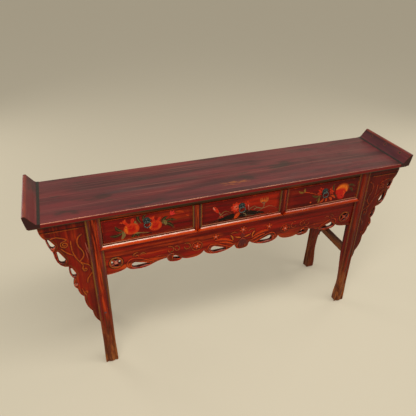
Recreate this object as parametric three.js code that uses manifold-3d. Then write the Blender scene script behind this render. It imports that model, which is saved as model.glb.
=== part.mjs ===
// Altar table with three drawers, everted flanges, splayed moulded legs and carved aprons.
// Millimetres, +Z up, front towards -Y, origin on the floor under the middle of the top.
import * as THREE from 'three';
import { mergeVertices } from 'three/addons/utils/BufferGeometryUtils.js';
import Module from 'manifold-3d';

const wasm = await Module();
wasm.setup();

// Driving dimensions of the top
const topHeight = 830; // top surface above the floor
const topThickness = 25;
const topDepth = 332;
const boardHalf = 802; // middle to the joint with a flange
const edgeBand = 12; // upright band of the moulded edge, below its arris
const arrisRadius = 4;
const edgeQuirk = 1.5; // step back under the band
const edgeCove = 8; // how far the cove runs back to the underside
const tongueLength = 12;
const tongueThickness = 8;
const tongueStop = 22; // the tongue stops short of the moulded edges

// Driving dimensions of the flanges
const flangeFoot = 44; // length of the block under the upturned part
const flangeRise = 41; // crest above the top surface
const flangeLean = 31; // outward lean of the inner face
const flangeCrest = 12; // thickness at the crest
const flangeCove = 7; // radius where the inner face meets the top
const flangeFlat = 6; // flat stretch between the joint and that cove
const flangeRound = 5; // rounding of the crest's outer corner
const flangeEase = 1.5; // rounding of its inner corner

// Driving dimensions of the legs
const legTopX = 620.5; // leg centre from the middle, at the top surface
const legSplayX = 9; // further out at the floor
const legTopY = 152; // bead crests from the middle, at the top surface
const legSplayY = 19; // further out at the floor
const legWidthTop = 58;
const ankleWidth = 53;
const footWidth = 57;
const legDepthTop = 42;
const ankleDepth = 26;
const footDepth = 36;
const kneeHeight = 360; // the inside is scooped out below this
const ankleHeight = 150;
const footHeight = 30; // the foot keeps its full size below this
const footChamfer = 6;
const legBead = 3.5; // radius of the edge beads
const legFlute = 6; // width of the flutes inside the beads
const legFluteDepth = 5;
const legCrown = 1.5; // the middle band stands this far before the beads
const legLip = 5; // the beads overhang the sides by this
const legCorner = 3; // chamfer of the inside corners

// Driving dimensions of the frame
const fit = 0.3; // clearance between joined pieces
const over = 1; // cutters and joined solids run this far past a face
const railDrop = 151; // top of the bead rail below the top surface
const railHeight = 24;
const railFace = 151; // flat face behind the nose, from the middle
const railBack = 110; // back of the front rails, from the middle
const noseDepth = 14.5; // the nose stands this far before the flat face
const railBead = 2.2; // radius of the small bead above the nose
const noseOverlap = 14; // the pointed ends run this far over the legs
const noseBlunt = 3; // flat end of each point
const noseGap = 0.5; // between the pointed ends and the legs
const topRailHeight = 16;
const dividerX = 202;
const dividerWidth = 40;
const dividerFace = 155; // bead crests from the middle
const dividerBead = 3;
const dividerFlute = 4;
const footDepthV = 10; // depth of the V foot let into the rail
const tenonThickness = 10;
const tenonLength = 15;
const tenonShoulder = 3; // the tenons are lower than their rails by this, above and below
const tenonSetback = 9; // front of the cross tenons, behind the bead crests
const topTenonWidth = 36;
const topTenonMargin = 8; // inside the front and back of the leg
const sideRailWidth = 24;
const panelThickness = 8;
const panelGroove = 6; // depth of the panel grooves
const backPanelFace = 128;
const runnerThickness = 18;
const runnerLedge = 16; // how far a runner reaches under a drawer side
const guideHeight = 21;
const stretcherBottom = 321;
const stretcherHeight = 30;
const stretcherWidth = 29;
const battenWidth = 36;
const battenHeight = 12;
const battenTail = 6; // height of the dovetail let into the plank
const battenTailWide = 32;
const battenTailNarrow = 26;
const battenReach = 106; // half length
const battenSpacing = 407;

// Driving dimensions of the drawers and pulls
const drawerGap = 1.5; // around a drawer front
const drawerSill = 4.5; // bottom of the fronts above the rail
const drawerFrontThickness = 18;
const drawerFace = 151.5; // from the middle
const drawerLength = 256;
const drawerSideThickness = 10;
const drawerSideHeight = 92;
const drawerBackThickness = 9;
const drawerBottomThickness = 5;
const drawerBottomLift = 8; // underside of the bottom panel above the runners
const drawerGroove = 4;
const drawerSideInset = 1; // the sides stand inside the ends of the front
const drawerBackDrop = 4; // the back is lower than the sides
const tailCount = 3;
const tailLength = 11; // dovetails let into the back of the front
const tailMargin = 6; // above the groove of the bottom panel
const pulls = [ // rise above the rail, and place beside the middle of the drawer
  { name: 'left', aside: -7, rise: 77 },
  { name: 'center', aside: -2, rise: 66 },
  { name: 'right', aside: 5, rise: 64 },
];
const plateRadius = 15.5;
const plateThickness = 2;
const plateDome = 1.5;
const plateEdge = 2; // bevel round the rim
const stapleWire = 1.6; // radius
const clenchLength = 14; // staple wire bent over inside the drawer
const eyeRadius = 4.5; // middle of the wire round the eye
const ringWire = 2.2; // radius
const ringRadius = 13.6; // middle of the wire

// Driving dimensions of the carved boards
const apronFace = 150; // from the middle
const spandrelFace = 147; // from the middle
const carvedThickness = 14;
const apronDrop = 147; // lowest point below the rail
const apronLean = 14; // the carver set the middle of the outline this far to the right
const spandrelReach = 174; // along the underside of the top, from the leg
const spandrelDrop = 562;
const spandrelFoot = 4; // width of its lowest end
const medallionRadius = 20; // pierced ring in each end of the apron
const medallionInset = 46; // its centre from the leg
const medallionDrop = 82;
const dropTip = 4; // radius of the narrow end of a pierced drop

// Materials
const paint = (color, roughness, metalness = 0) =>
  new THREE.MeshStandardMaterial({ color, roughness, metalness });
const topLacquer = paint(0x5a2f2c, 0.45);
const redLacquer = paint(0x8f2412, 0.4);
const deepLacquer = paint(0x74180f, 0.4);
const drawerLacquer = paint(0x7d1a10, 0.35);
const bareWood = paint(0x8a6844, 0.8);
const iron = paint(0x34383a, 0.45, 0.85);

// Heights and places worked out from the sizes above
const underside = topHeight - topThickness;
const railTop = topHeight - railDrop;
const railBottom = railTop - railHeight;
const topRailBottom = underside - topRailHeight;
const halfDepth = topDepth / 2;
const lean = (z) => (topHeight - z) / topHeight;
const legX = (z) => legTopX + legSplayX * lean(z);
const legFront = (z) => legTopY + legSplayY * lean(z);
const smooth = (t) => {
  const s = Math.min(Math.max(t, 0), 1);
  return s * s * (3 - 2 * s);
};
const mix = (from, to, t) => from + (to - from) * t;
const legWidth = (z) => (z > ankleHeight
  ? mix(ankleWidth, legWidthTop, (z - ankleHeight) / (topHeight - ankleHeight))
  : mix(footWidth, ankleWidth, smooth((z - footHeight) / (ankleHeight - footHeight))));
const legDepth = (z) => (z > ankleHeight
  ? mix(ankleDepth, legDepthTop, smooth((z - ankleHeight) / (kneeHeight - ankleHeight)))
  : mix(footDepth, ankleDepth, smooth((z - footHeight) / (ankleHeight - footHeight))));
const legInnerSide = (z) => legX(z) - legWidth(z) / 2 + legLip;
const legOuterSide = (z) => legX(z) + legWidth(z) / 2 - legLip;
const legInside = (z) => legFront(z) - legDepth(z);
const legEdge = (z) => legX(z) - legWidth(z) / 2; // crest of the inner bead
const behindBeads = (z) => legFront(z) - legBead - over - fit;

// Solids and their joins and cuts
function toSolid(geometry) {
  const bare = geometry.clone();
  bare.deleteAttribute('normal');
  bare.deleteAttribute('uv');
  const merged = mergeVertices(bare, 1e-4);
  return new wasm.Manifold(new wasm.Mesh({
    numProp: 3,
    vertProperties: new Float32Array(merged.attributes.position.array),
    triVerts: new Uint32Array(merged.index.array),
  }));
}

function toGeometry(solid) {
  const mesh = solid.getMesh();
  const indexed = new THREE.BufferGeometry();
  indexed.setAttribute('position', new THREE.BufferAttribute(new Float32Array(mesh.vertProperties), 3));
  indexed.setIndex(new THREE.BufferAttribute(new Uint32Array(mesh.triVerts), 1));
  const geometry = indexed.toNonIndexed();
  geometry.computeVertexNormals();
  return geometry;
}

const join = (first, ...others) => others.reduce((sum, solid) => sum.add(solid), first);
const cut = (body, ...tools) => tools.reduce((rest, tool) => rest.subtract(tool), body);

// The same solid on the other side of the middle: left for -1 in X, back for -1 in Y.
function mirrored(solid, signX, signY = 1) {
  const mesh = solid.getMesh();
  const flips = signX * signY < 0;
  const points = Float32Array.from(mesh.vertProperties, (value, i) => value * [signX, signY, 1][i % 3]);
  const faces = Uint32Array.from(mesh.triVerts);
  for (let i = 0; flips && i < faces.length; i += 3) {
    [faces[i], faces[i + 1]] = [faces[i + 1], faces[i]];
  }
  return new wasm.Manifold(new wasm.Mesh({ numProp: 3, vertProperties: points, triVerts: faces }));
}

function box(x0, x1, y0, y1, z0, z1) {
  const geometry = new THREE.BoxGeometry(x1 - x0, y1 - y0, z1 - z0);
  return toSolid(geometry.translate((x0 + x1) / 2, (y0 + y1) / 2, (z0 + z1) / 2));
}

function extruded(shape, length, curveSegments) {
  return new THREE.ExtrudeGeometry(shape, { depth: length, steps: 1, bevelEnabled: false, curveSegments });
}

// An outline in Y and Z, extruded along X.
function prismX(shape, x0, x1, curveSegments = 6) {
  const turn = new THREE.Matrix4().makeBasis(
    new THREE.Vector3(0, 1, 0), new THREE.Vector3(0, 0, 1), new THREE.Vector3(1, 0, 0));
  return toSolid(extruded(shape, x1 - x0, curveSegments).applyMatrix4(turn).translate(x0, 0, 0));
}

// An outline in X and Z, extruded along Y.
function prismY(shape, y0, y1, curveSegments = 6) {
  return toSolid(extruded(shape, y1 - y0, curveSegments).rotateX(Math.PI / 2).translate(0, y1, 0));
}

// An outline in X and Y, extruded along Z.
function prismZ(shape, z0, z1, curveSegments = 6) {
  return toSolid(extruded(shape, z1 - z0, curveSegments).translate(0, 0, z0));
}

const outline = (points) => new THREE.Shape(points.map(([x, y]) => new THREE.Vector2(x, y)));

// A skin through equal rings of points, capped at both ends.
function loft(rings) {
  const count = rings[0].length;
  const positions = rings.flat(2);
  const faces = [];
  for (let level = 0; level + 1 < rings.length; level += 1) {
    for (let i = 0; i < count; i += 1) {
      const a = level * count + i;
      const b = level * count + ((i + 1) % count);
      faces.push(a, b, b + count, a, b + count, a + count);
    }
  }
  const flat = (ring) => ring.map(([x, y]) => new THREE.Vector2(x, y));
  const capFaces = (ring) => THREE.ShapeUtils.triangulateShape(flat(ring), []);
  const last = (rings.length - 1) * count;
  capFaces(rings[0]).forEach(([a, b, c]) => faces.push(a, c, b));
  capFaces(rings.at(-1)).forEach(([a, b, c]) => faces.push(last + a, last + b, last + c));
  const geometry = new THREE.BufferGeometry();
  geometry.setAttribute('position', new THREE.Float32BufferAttribute(positions, 3));
  geometry.setIndex(faces);
  return toSolid(geometry);
}

const table = new THREE.Group();

function addPiece(name, solid, material) {
  const mesh = new THREE.Mesh(toGeometry(solid), material);
  mesh.name = name;
  table.add(mesh);
}

// A moulded face across: edge bead, flute, rounded middle band, flute, edge bead.
// Points run along the face as [across, behind the bead crests].
function mouldedFace(half, bead, flute, fluteDepth, crown) {
  const beadSteps = 4;
  const bandSteps = 6;
  const bandHalf = half - 2 * bead - flute;
  const edge = (side) => Array.from({ length: beadSteps + 1 }, (_, i) => {
    const turn = (Math.PI * i) / beadSteps;
    return [side * (half - bead) - bead * Math.cos(turn), bead - bead * Math.sin(turn)];
  });
  const band = Array.from({ length: bandSteps + 1 }, (_, i) => {
    const turn = (Math.PI * i) / bandSteps;
    return [-bandHalf * Math.cos(turn), bead - (bead + crown) * Math.sin(turn)];
  });
  const fluteMiddle = bandHalf + flute / 2;
  return [...edge(-1), [-fluteMiddle, fluteDepth], ...band, [fluteMiddle, fluteDepth], ...edge(1)];
}

// Legs: the right front one is made, the others mirror it
function legRing(z, inset = 0) {
  const half = legWidth(z) / 2 - inset;
  const depth = legDepth(z) - 2 * inset;
  const side = half - legLip;
  const face = mouldedFace(half, legBead, legFlute, legFluteDepth, legCrown);
  const back = [
    [side, legBead + over], [side, depth - legCorner], [side - legCorner, depth],
    [legCorner - side, depth], [-side, depth - legCorner], [-side, legBead + over],
  ];
  return [...face, ...back].map(([across, behind]) => [legX(z) + across, behind + inset - legFront(z), z]);
}

function legLevels() {
  const curved = [0.25, 0.5, 0.75];
  return [
    footChamfer, footHeight,
    ...curved.map((t) => mix(footHeight, ankleHeight, t)), ankleHeight,
    ...curved.map((t) => mix(ankleHeight, kneeHeight, t)), kneeHeight, underside,
  ];
}

// Tenons, each as a box that may be grown by the clearance of its mortise
const topTenon = (grow) => box(
  legX(underside) - topTenonWidth / 2 - grow, legX(underside) + topTenonWidth / 2 + grow,
  -legFront(underside) + topTenonMargin - grow, -legInside(underside) - topTenonMargin + grow,
  underside - over, underside + tenonLength + grow);

function crossTenon(bottom, height, grow) {
  const side = legInnerSide(bottom);
  const face = legFront(bottom) - tenonSetback;
  return box(
    side - 2 * over, side + tenonLength + grow,
    -face - grow, -face + tenonThickness + grow,
    bottom + tenonShoulder - grow, bottom + height - tenonShoulder + grow);
}

function sideTenon(bottom, height, grow) {
  const middle = legX(bottom + height / 2);
  const inside = legInside(bottom);
  return box(
    middle - tenonThickness / 2 - grow, middle + tenonThickness / 2 + grow,
    -inside - tenonLength - grow, -inside + 2 * over,
    bottom + tenonShoulder - grow, bottom + height - tenonShoulder + grow);
}

const sidePanelX = legX(railTop);
const sidePanelSpan = legInside(railTop) + panelGroove;
const sidePanel = (grow) => box(
  sidePanelX - panelThickness / 2 - grow, sidePanelX + panelThickness / 2 + grow,
  -sidePanelSpan - grow, sidePanelSpan + grow,
  railTop - panelGroove - grow, topRailBottom + panelGroove + grow);
const backPanelSpan = legInnerSide(railTop) + panelGroove;
const backPanel = (grow) => box(
  -backPanelSpan - grow, backPanelSpan + grow,
  -backPanelFace - panelThickness - grow, -backPanelFace + grow,
  railTop - panelGroove - grow, topRailBottom + panelGroove + grow);

function makeLeg(isBack) {
  const body = join(loft([legRing(0, footChamfer), ...legLevels().map((z) => legRing(z))]), topTenon(0));
  const cuts = [
    crossTenon(railBottom, railHeight, fit), crossTenon(topRailBottom, topRailHeight, fit),
    sideTenon(railBottom, railHeight, fit), sideTenon(topRailBottom, topRailHeight, fit),
    sideTenon(stretcherBottom, stretcherHeight, fit), sidePanel(fit),
  ];
  if (isBack) cuts.push(backPanel(fit));
  return cut(body, ...cuts);
}

for (const [side, signX] of [['left', -1], ['right', 1]]) {
  addPiece(`leg_front_${side}`, mirrored(makeLeg(false), signX), redLacquer);
  addPiece(`leg_back_${side}`, mirrored(makeLeg(true), signX, -1), redLacquer);
}

// Rails between a front and a back leg, with a tenon at each end
function sideRail(bottom, height, width) {
  const top = bottom + height;
  const middle = legX(bottom + height / 2);
  const low = legInside(bottom) - fit;
  const high = legInside(top) - fit;
  const body = prismX(outline([[-low, bottom], [low, bottom], [high, top], [-high, top]]),
    middle - width / 2, middle + width / 2);
  const tenon = sideTenon(bottom, height, 0);
  return join(body, tenon, mirrored(tenon, 1, -1));
}

for (const [side, signX] of [['left', -1], ['right', 1]]) {
  const upper = cut(sideRail(topRailBottom, topRailHeight, sideRailWidth), sidePanel(fit));
  const lower = cut(sideRail(railBottom, railHeight, sideRailWidth), sidePanel(fit));
  addPiece(`side_rail_upper_${side}`, mirrored(upper, signX), deepLacquer);
  addPiece(`side_rail_lower_${side}`, mirrored(lower, signX), deepLacquer);
  addPiece(`side_panel_${side}`, mirrored(sidePanel(0), signX), deepLacquer);
  addPiece(`side_stretcher_${side}`,
    mirrored(sideRail(stretcherBottom, stretcherHeight, stretcherWidth), signX), redLacquer);
}

// Rails between two front or two back legs, with a tenon at each end
function betweenLegs(bottom, height, face) {
  const low = legInnerSide(bottom) - fit;
  const high = legInnerSide(bottom + height) - fit;
  return prismY(outline([[-low, bottom], [low, bottom], [high, bottom + height], [-high, bottom + height]]),
    -face, -railBack);
}

function crossRail(bottom, height) {
  const tenon = crossTenon(bottom, height, 0);
  return join(betweenLegs(bottom, height, behindBeads(bottom + height)), tenon, mirrored(tenon, -1));
}

// The V foot of a divider, in the plane of the front
function footV(grow) {
  const half = dividerWidth / 2 + grow;
  const tip = railTop - half - (Math.SQRT2 - 1) * grow;
  return outline([
    [-half, topRailBottom], [-half, railTop], [0, tip], [half, railTop], [half, topRailBottom],
  ]);
}
const vFront = -railFace - noseDepth - over;
const vBack = -dividerFace + footDepthV;

// The nosed rail: its nose runs over the legs in pointed, mitred ends
function makeBeadRail() {
  const noseRadius = railHeight / 2 - railBead;
  const noseMiddle = railBottom + noseRadius;
  const section = new THREE.Shape();
  section.moveTo(-railBack, railBottom);
  section.lineTo(-railBack, railTop);
  section.absarc(-railFace - railBead, railTop - railBead, railBead, Math.PI / 2, Math.PI * 1.4, false);
  section.absellipse(-railFace - 2 * railBead, noseMiddle, noseDepth - 2 * railBead, noseRadius,
    Math.PI / 2, Math.PI * 1.5, false, 0);
  const tip = legEdge(railTop) + noseOverlap;
  const legCrest = legFront(railBottom) + legCrown + noseGap;
  const above = railTop + 2 * railBead;
  const behindNose = box(legEdge(railTop) - fit, tip + over, -legCrest, 0, railBottom - over, above);
  const mitre = prismY(outline([
    [legEdge(railTop), above], [legEdge(railTop), railTop], [tip, railBottom + noseBlunt],
    [tip - noseBlunt, railBottom], [tip - noseBlunt, railBottom - over], [tip + over, railBottom - over],
    [tip + over, above],
  ]), vFront, 0);
  const feet = [-dividerX, dividerX].map((x) =>
    prismY(footV(fit), vFront, vBack + fit).translate([x, 0, 0]));
  const ends = [behindNose, mirrored(behindNose, -1), mitre, mirrored(mitre, -1)];
  const nose = cut(prismX(section, -tip, tip, 8), ...ends);
  return cut(join(nose, crossRail(railBottom, railHeight)), ...feet);
}
addPiece('front_bead_rail', makeBeadRail(), redLacquer);
addPiece('front_top_rail', crossRail(topRailBottom, topRailHeight), deepLacquer);

const backRail = (bottom, height) => cut(crossRail(bottom, height), backPanel(fit));
addPiece('back_top_rail', mirrored(backRail(topRailBottom, topRailHeight), 1, -1), deepLacquer);
addPiece('back_bottom_rail', mirrored(backRail(railBottom, railHeight), 1, -1), deepLacquer);
addPiece('back_panel', mirrored(backPanel(0), 1, -1), deepLacquer);

// Dividers: moulded posts that stand on the rail, with a V foot let into its nose
function makeDivider() {
  const half = dividerWidth / 2;
  const face = mouldedFace(half, dividerBead, dividerFlute, dividerBead + over, 0);
  const section = outline([...face, [half, dividerFace - railBack], [-half, dividerFace - railBack]]);
  const post = prismZ(section, railBottom, topRailBottom - fit).translate([0, -dividerFace, 0]);
  const standing = box(-half - over, half + over, vFront, 0, railTop + fit, topRailBottom);
  return post.intersect(join(prismY(footV(0), vFront, vBack), standing));
}
addPiece('divider_left', makeDivider().translate([-dividerX, 0, 0]), redLacquer);
addPiece('divider_right', makeDivider().translate([dividerX, 0, 0]), redLacquer);

// Drawer openings, from the bead crests of the legs to the dividers
const openingEnd = legEdge(topRailBottom);
const innerEdge = dividerX - dividerWidth / 2;
const outerEdge = dividerX + dividerWidth / 2;
const openings = [[-openingEnd, -outerEdge], [-innerEdge, innerEdge], [outerEdge, openingEnd]];

// Runners: a ledge under the drawer sides and a guide between them
function runner(ledgeFrom, ledgeTo, guideFrom, guideTo) {
  const reach = railBack - fit;
  return join(
    box(ledgeFrom, ledgeTo, -reach, reach, railTop - runnerThickness, railTop),
    box(guideFrom, guideTo, -reach, reach, railTop - over, railTop + guideHeight));
}
const sideRailInner = legX(railBottom + railHeight / 2) - sideRailWidth / 2;
const endRunner = runner(openingEnd - drawerGap - drawerSideThickness - runnerLedge, sideRailInner - fit,
  openingEnd, sideRailInner - fit);
const guideHalf = dividerWidth / 2;
const midLedge = guideHalf + drawerSideThickness + runnerLedge;
const midRunner = runner(-midLedge, midLedge, -guideHalf, guideHalf);
addPiece('runner_left', mirrored(endRunner, -1), bareWood);
addPiece('runner_mid_left', midRunner.translate([-dividerX, 0, 0]), bareWood);
addPiece('runner_mid_right', midRunner.translate([dividerX, 0, 0]), bareWood);
addPiece('runner_right', endRunner, bareWood);

// Battens: dovetailed into the underside of the plank
function battenTailShape(grow) {
  const wide = battenTailWide / 2 + grow;
  const narrow = battenTailNarrow / 2 + grow;
  return outline([
    [-narrow, underside - over], [narrow, underside - over], [wide, underside + battenTail + grow],
    [-wide, underside + battenTail + grow],
  ]);
}
const battenPlaces = [['left', -battenSpacing], ['center', 0], ['right', battenSpacing]];
for (const [side, x] of battenPlaces) {
  const batten = join(
    box(-battenWidth / 2, battenWidth / 2, -battenReach, battenReach,
      underside - battenHeight, underside - fit),
    prismY(battenTailShape(0), -battenReach, battenReach));
  addPiece(`top_batten_${side}`, batten.translate([x, 0, 0]), bareWood);
}

// The moulded edge in Y and Z: arris, band, quirk and cove, the same at front and back
function edgeSection(top) {
  const bandBottom = topHeight - arrisRadius - edgeBand;
  const coveTop = halfDepth - edgeQuirk;
  const coveFoot = halfDepth - edgeQuirk - edgeCove;
  const shape = new THREE.Shape();
  shape.moveTo(-coveFoot, underside);
  shape.lineTo(coveFoot, underside);
  shape.quadraticCurveTo(coveFoot + edgeQuirk, bandBottom, coveTop, bandBottom);
  shape.lineTo(halfDepth, bandBottom);
  shape.lineTo(halfDepth, top - arrisRadius);
  shape.absarc(halfDepth - arrisRadius, top - arrisRadius, arrisRadius, 0, Math.PI / 2, false);
  shape.lineTo(arrisRadius - halfDepth, top);
  shape.absarc(arrisRadius - halfDepth, top - arrisRadius, arrisRadius, Math.PI / 2, Math.PI, false);
  shape.lineTo(-halfDepth, bandBottom);
  shape.lineTo(-coveTop, bandBottom);
  shape.quadraticCurveTo(-coveFoot - edgeQuirk, bandBottom, -coveFoot, underside);
  return shape;
}

// The plank, with its end tongues and the grooves and mortises under it
function makeBoard() {
  const middle = topHeight - topThickness / 2;
  const tongueReach = halfDepth - tongueStop;
  const tongue = (signX) => mirrored(box(
    boardHalf - over, boardHalf + tongueLength, -tongueReach, tongueReach,
    middle - tongueThickness / 2, middle + tongueThickness / 2), signX);
  const plank = join(prismX(edgeSection(topHeight), -boardHalf, boardHalf, 4), tongue(1), tongue(-1));
  const grooves = battenPlaces.map(([, x]) =>
    prismY(battenTailShape(fit), -battenReach - fit, battenReach + fit).translate([x, 0, 0]));
  const mortises = [[1, 1], [-1, 1], [1, -1], [-1, -1]].map(([x, y]) => mirrored(topTenon(fit), x, y));
  return cut(plank, ...grooves, ...mortises);
}
addPiece('top_board', makeBoard(), topLacquer);

// Flanges: end blocks that turn up and lean outwards
function makeFlange() {
  const joint = boardHalf + fit;
  const bottomEnd = boardHalf + flangeFoot;
  const crest = topHeight + flangeRise;
  const faceFoot = boardHalf + flangeCove + flangeFlat;
  const crestInner = faceFoot + flangeLean;
  const crestOuter = crestInner + flangeCrest;
  const slope = flangeRise / flangeLean;
  const section = new THREE.Shape();
  section.moveTo(joint, underside);
  section.lineTo(bottomEnd, underside);
  section.quadraticCurveTo(bottomEnd + flangeCove, topHeight - flangeCove, crestOuter, crest - flangeRound);
  section.quadraticCurveTo(crestOuter, crest, crestOuter - flangeRound, crest);
  section.lineTo(crestInner + flangeEase, crest);
  section.quadraticCurveTo(crestInner, crest, crestInner - flangeEase / slope, crest - flangeEase);
  section.lineTo(faceFoot + flangeCove / slope, topHeight + flangeCove);
  section.quadraticCurveTo(faceFoot, topHeight, faceFoot - flangeCove, topHeight);
  section.lineTo(joint, topHeight);
  const block = prismY(section, -halfDepth, halfDepth, 5);
  const edge = prismX(edgeSection(crest + arrisRadius), joint, crestOuter + over, 4);
  const middle = topHeight - topThickness / 2;
  const grooveReach = halfDepth - tongueStop + fit;
  const groove = box(joint - over, boardHalf + tongueLength + fit, -grooveReach, grooveReach,
    middle - tongueThickness / 2 - fit, middle + tongueThickness / 2 + fit);
  return cut(block.intersect(edge), groove);
}
addPiece('flange_left', mirrored(makeFlange(), -1), topLacquer);
addPiece('flange_right', makeFlange(), topLacquer);

// A pierced drop: a narrow end that widens into a round one
function dropHole(tipX, tipZ, roundX, roundZ, radius) {
  const away = Math.atan2(tipZ - roundZ, tipX - roundX);
  const span = Math.acos((radius - dropTip) / Math.hypot(tipX - roundX, tipZ - roundZ));
  const hole = new THREE.Path();
  hole.absarc(tipX, tipZ, dropTip, away - span, away + span, false);
  hole.absarc(roundX, roundZ, radius, away + span, away - span + 2 * Math.PI, false);
  return hole;
}

// Four windows round a star, inside a pierced medallion
function medallionHoles(x, z) {
  const windowSpan = THREE.MathUtils.degToRad(33);
  return [0, 1, 2, 3].map((quarter) => {
    const middle = (quarter * Math.PI) / 2;
    const point = (radius, angle) => [x + radius * Math.cos(angle), z + radius * Math.sin(angle)];
    const hole = new THREE.Path();
    hole.absarc(x, z, medallionRadius, middle - windowSpan, middle + windowSpan, false);
    hole.quadraticCurveTo(
      ...point(0.05 * medallionRadius, middle), ...point(medallionRadius, middle - windowSpan));
    return hole;
  });
}

// Aprons, from the middle outwards: pendant, pierced loop, lobe, scroll, pierced loop, end lobe.
// Each curve has its bend and its end as shares of the way to the leg and of the drop.
const apronLevel = (share) => railBottom - share * apronDrop;
const apronSide = legInnerSide(railBottom);
const apronStart = [0, 0.99];
const apronEnd = 0.94;
const apronCurves = [
  { bend: [0.045, 0.99], to: [0.052, 0.89] },
  { bend: [0.053, 0.82], to: [0.062, 0.785] },
  { bend: [0.11, 0.955], to: [0.2, 0.975] },
  { bend: [0.287, 0.97], to: [0.307, 0.77] },
  { bend: [0.327, 0.93], to: [0.394, 0.94] },
  { bend: [0.444, 0.95], to: [0.472, 0.88] },
  { bend: [0.484, 0.955], to: [0.514, 0.955] },
  { bend: [0.585, 0.95], to: [0.58, 0.76] },
  { bend: [0.64, 0.77], to: [0.703, 0.9] },
  { bend: [0.75, 0.97], to: [0.796, 0.93] },
  { bend: [0.836, 0.93], to: [0.853, 0.81] },
  { bend: [0.89, apronEnd], to: [1, apronEnd] },
];
// Pierced drops: narrow end, middle of the round end, and its radius as a share of the drop
const apronDrops = [
  { tip: [0.135, 0.86], round: [0.228, 0.789], radius: 0.102 },
  { tip: [0.49, 0.84], round: [0.525, 0.78], radius: 0.06 },
  { tip: [0.708, 0.83], round: [0.8, 0.776], radius: 0.095 },
];
// The lean fades out between the middle and the end lobes
const leanEnd = 0.85;
const apronAlong = (share) => share * apronSide + apronLean * Math.max(0, 1 - (share / leanEnd) ** 4);

function makeApron(pierced) {
  const top = railBottom - fit;
  const at = ([share, drop], sign) => [apronAlong(sign * share), apronLevel(drop)];
  const end = (sign) => [sign * (legInnerSide(apronLevel(apronEnd)) - fit), apronLevel(apronEnd)];
  const last = apronCurves.length - 1;
  const shape = new THREE.Shape();
  shape.moveTo(...at(apronStart, 1));
  apronCurves.forEach(({ bend, to }, i) => {
    shape.quadraticCurveTo(...at(bend, 1), ...(i < last ? at(to, 1) : end(1)));
  });
  shape.lineTo(legInnerSide(top) - fit, top);
  shape.lineTo(fit - legInnerSide(top), top);
  shape.lineTo(...end(-1));
  for (let i = last; i >= 0; i -= 1) {
    shape.quadraticCurveTo(...at(apronCurves[i].bend, -1), ...at(i > 0 ? apronCurves[i - 1].to : apronStart, -1));
  }
  for (const sign of pierced ? [-1, 1] : []) {
    const drops = apronDrops.map(({ tip, round, radius }) =>
      dropHole(...at(tip, sign), ...at(round, sign), radius * apronDrop));
    const medallionX = sign * (apronSide - medallionInset);
    shape.holes.push(...drops, ...medallionHoles(medallionX, railBottom - medallionDrop));
  }
  return prismY(shape, -apronFace, -apronFace + carvedThickness, 5);
}
addPiece('apron_front', makeApron(true), redLacquer);
addPiece('apron_back', mirrored(makeApron(false), 1, -1), deepLacquer);

// Spandrels, from the foot up to the tip. Places are shares of the reach and of the drop,
// and the radii are shares of the reach.
const spandrelCurves = [
  { bend: [0.18, 0.92], to: [0.19, 0.84] },
  { bend: [0.35, 0.77], to: [0.32, 0.676] },
  { bend: [0.42, 0.65], to: [0.433, 0.589] },
  { bend: [0.56, 0.552], to: [0.456, 0.489] },
  { bend: [0.59, 0.436], to: [0.52, 0.37] },
  { bend: [0.784, 0.364], to: [0.795, 0.221] },
  { bend: [0.882, 0.166], to: [0.893, 0.11] },
  { bend: [1.01, 0.07], to: [1, 0] },
];
const spandrelDrops = [
  { tip: [0.843, 0.118], round: [0.775, 0.172], radius: 0.052 },
  { tip: [0.7, 0.229], round: [0.634, 0.306], radius: 0.072 },
  { tip: [0.485, 0.394], round: [0.445, 0.45], radius: 0.05 },
];

function makeSpandrel(pierced) {
  const top = underside - fit;
  const foot = top - spandrelDrop;
  const across = (share) => legOuterSide(underside) + share * spandrelReach;
  const down = (share) => top - share * spandrelDrop;
  const shape = new THREE.Shape();
  shape.moveTo(legOuterSide(top) + fit, top);
  shape.lineTo(legOuterSide(foot) + fit, foot);
  shape.lineTo(legOuterSide(foot) + spandrelFoot, foot);
  shape.lineTo(across(0.055), down(0.973));
  for (const { bend, to } of spandrelCurves) {
    shape.quadraticCurveTo(across(bend[0]), down(bend[1]), across(to[0]), down(to[1]));
  }
  if (pierced) {
    shape.holes.push(...spandrelDrops.map(({ tip, round, radius }) =>
      dropHole(across(tip[0]), down(tip[1]), across(round[0]), down(round[1]), radius * spandrelReach)));
  }
  return prismY(shape, -spandrelFace, -spandrelFace + carvedThickness, 5);
}
for (const [side, signX] of [['left', -1], ['right', 1]]) {
  addPiece(`spandrel_front_${side}`, mirrored(makeSpandrel(true), signX), redLacquer);
  addPiece(`spandrel_back_${side}`, mirrored(makeSpandrel(false), signX, -1), deepLacquer);
}

// Drawers: half-blind dovetails at the front, the bottom panel held in grooves
const frontBottom = railTop + drawerSill;
const frontTop = topRailBottom - drawerGap;
const sideBottom = railTop + fit;
const bottomPanel = railTop + drawerBottomLift;
const drawerBackY = drawerLength - drawerFace;

function tails(x0, x1, grow) {
  const shoulder = drawerFrontThickness - drawerFace;
  const low = bottomPanel + drawerBottomThickness + tailMargin;
  const pitch = (sideBottom + drawerSideHeight - low) / tailCount;
  return Array.from({ length: tailCount }, (_, i) => {
    const middle = low + pitch * (i + 0.5);
    const neck = pitch * 0.22 + grow;
    const tip = pitch * 0.34 + grow;
    return prismX(outline([
      [shoulder + over, middle - neck], [shoulder + over, middle + neck],
      [shoulder - tailLength - grow, middle + tip], [shoulder - tailLength - grow, middle - tip],
    ]), x0 - grow, x1 + grow);
  });
}

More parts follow.
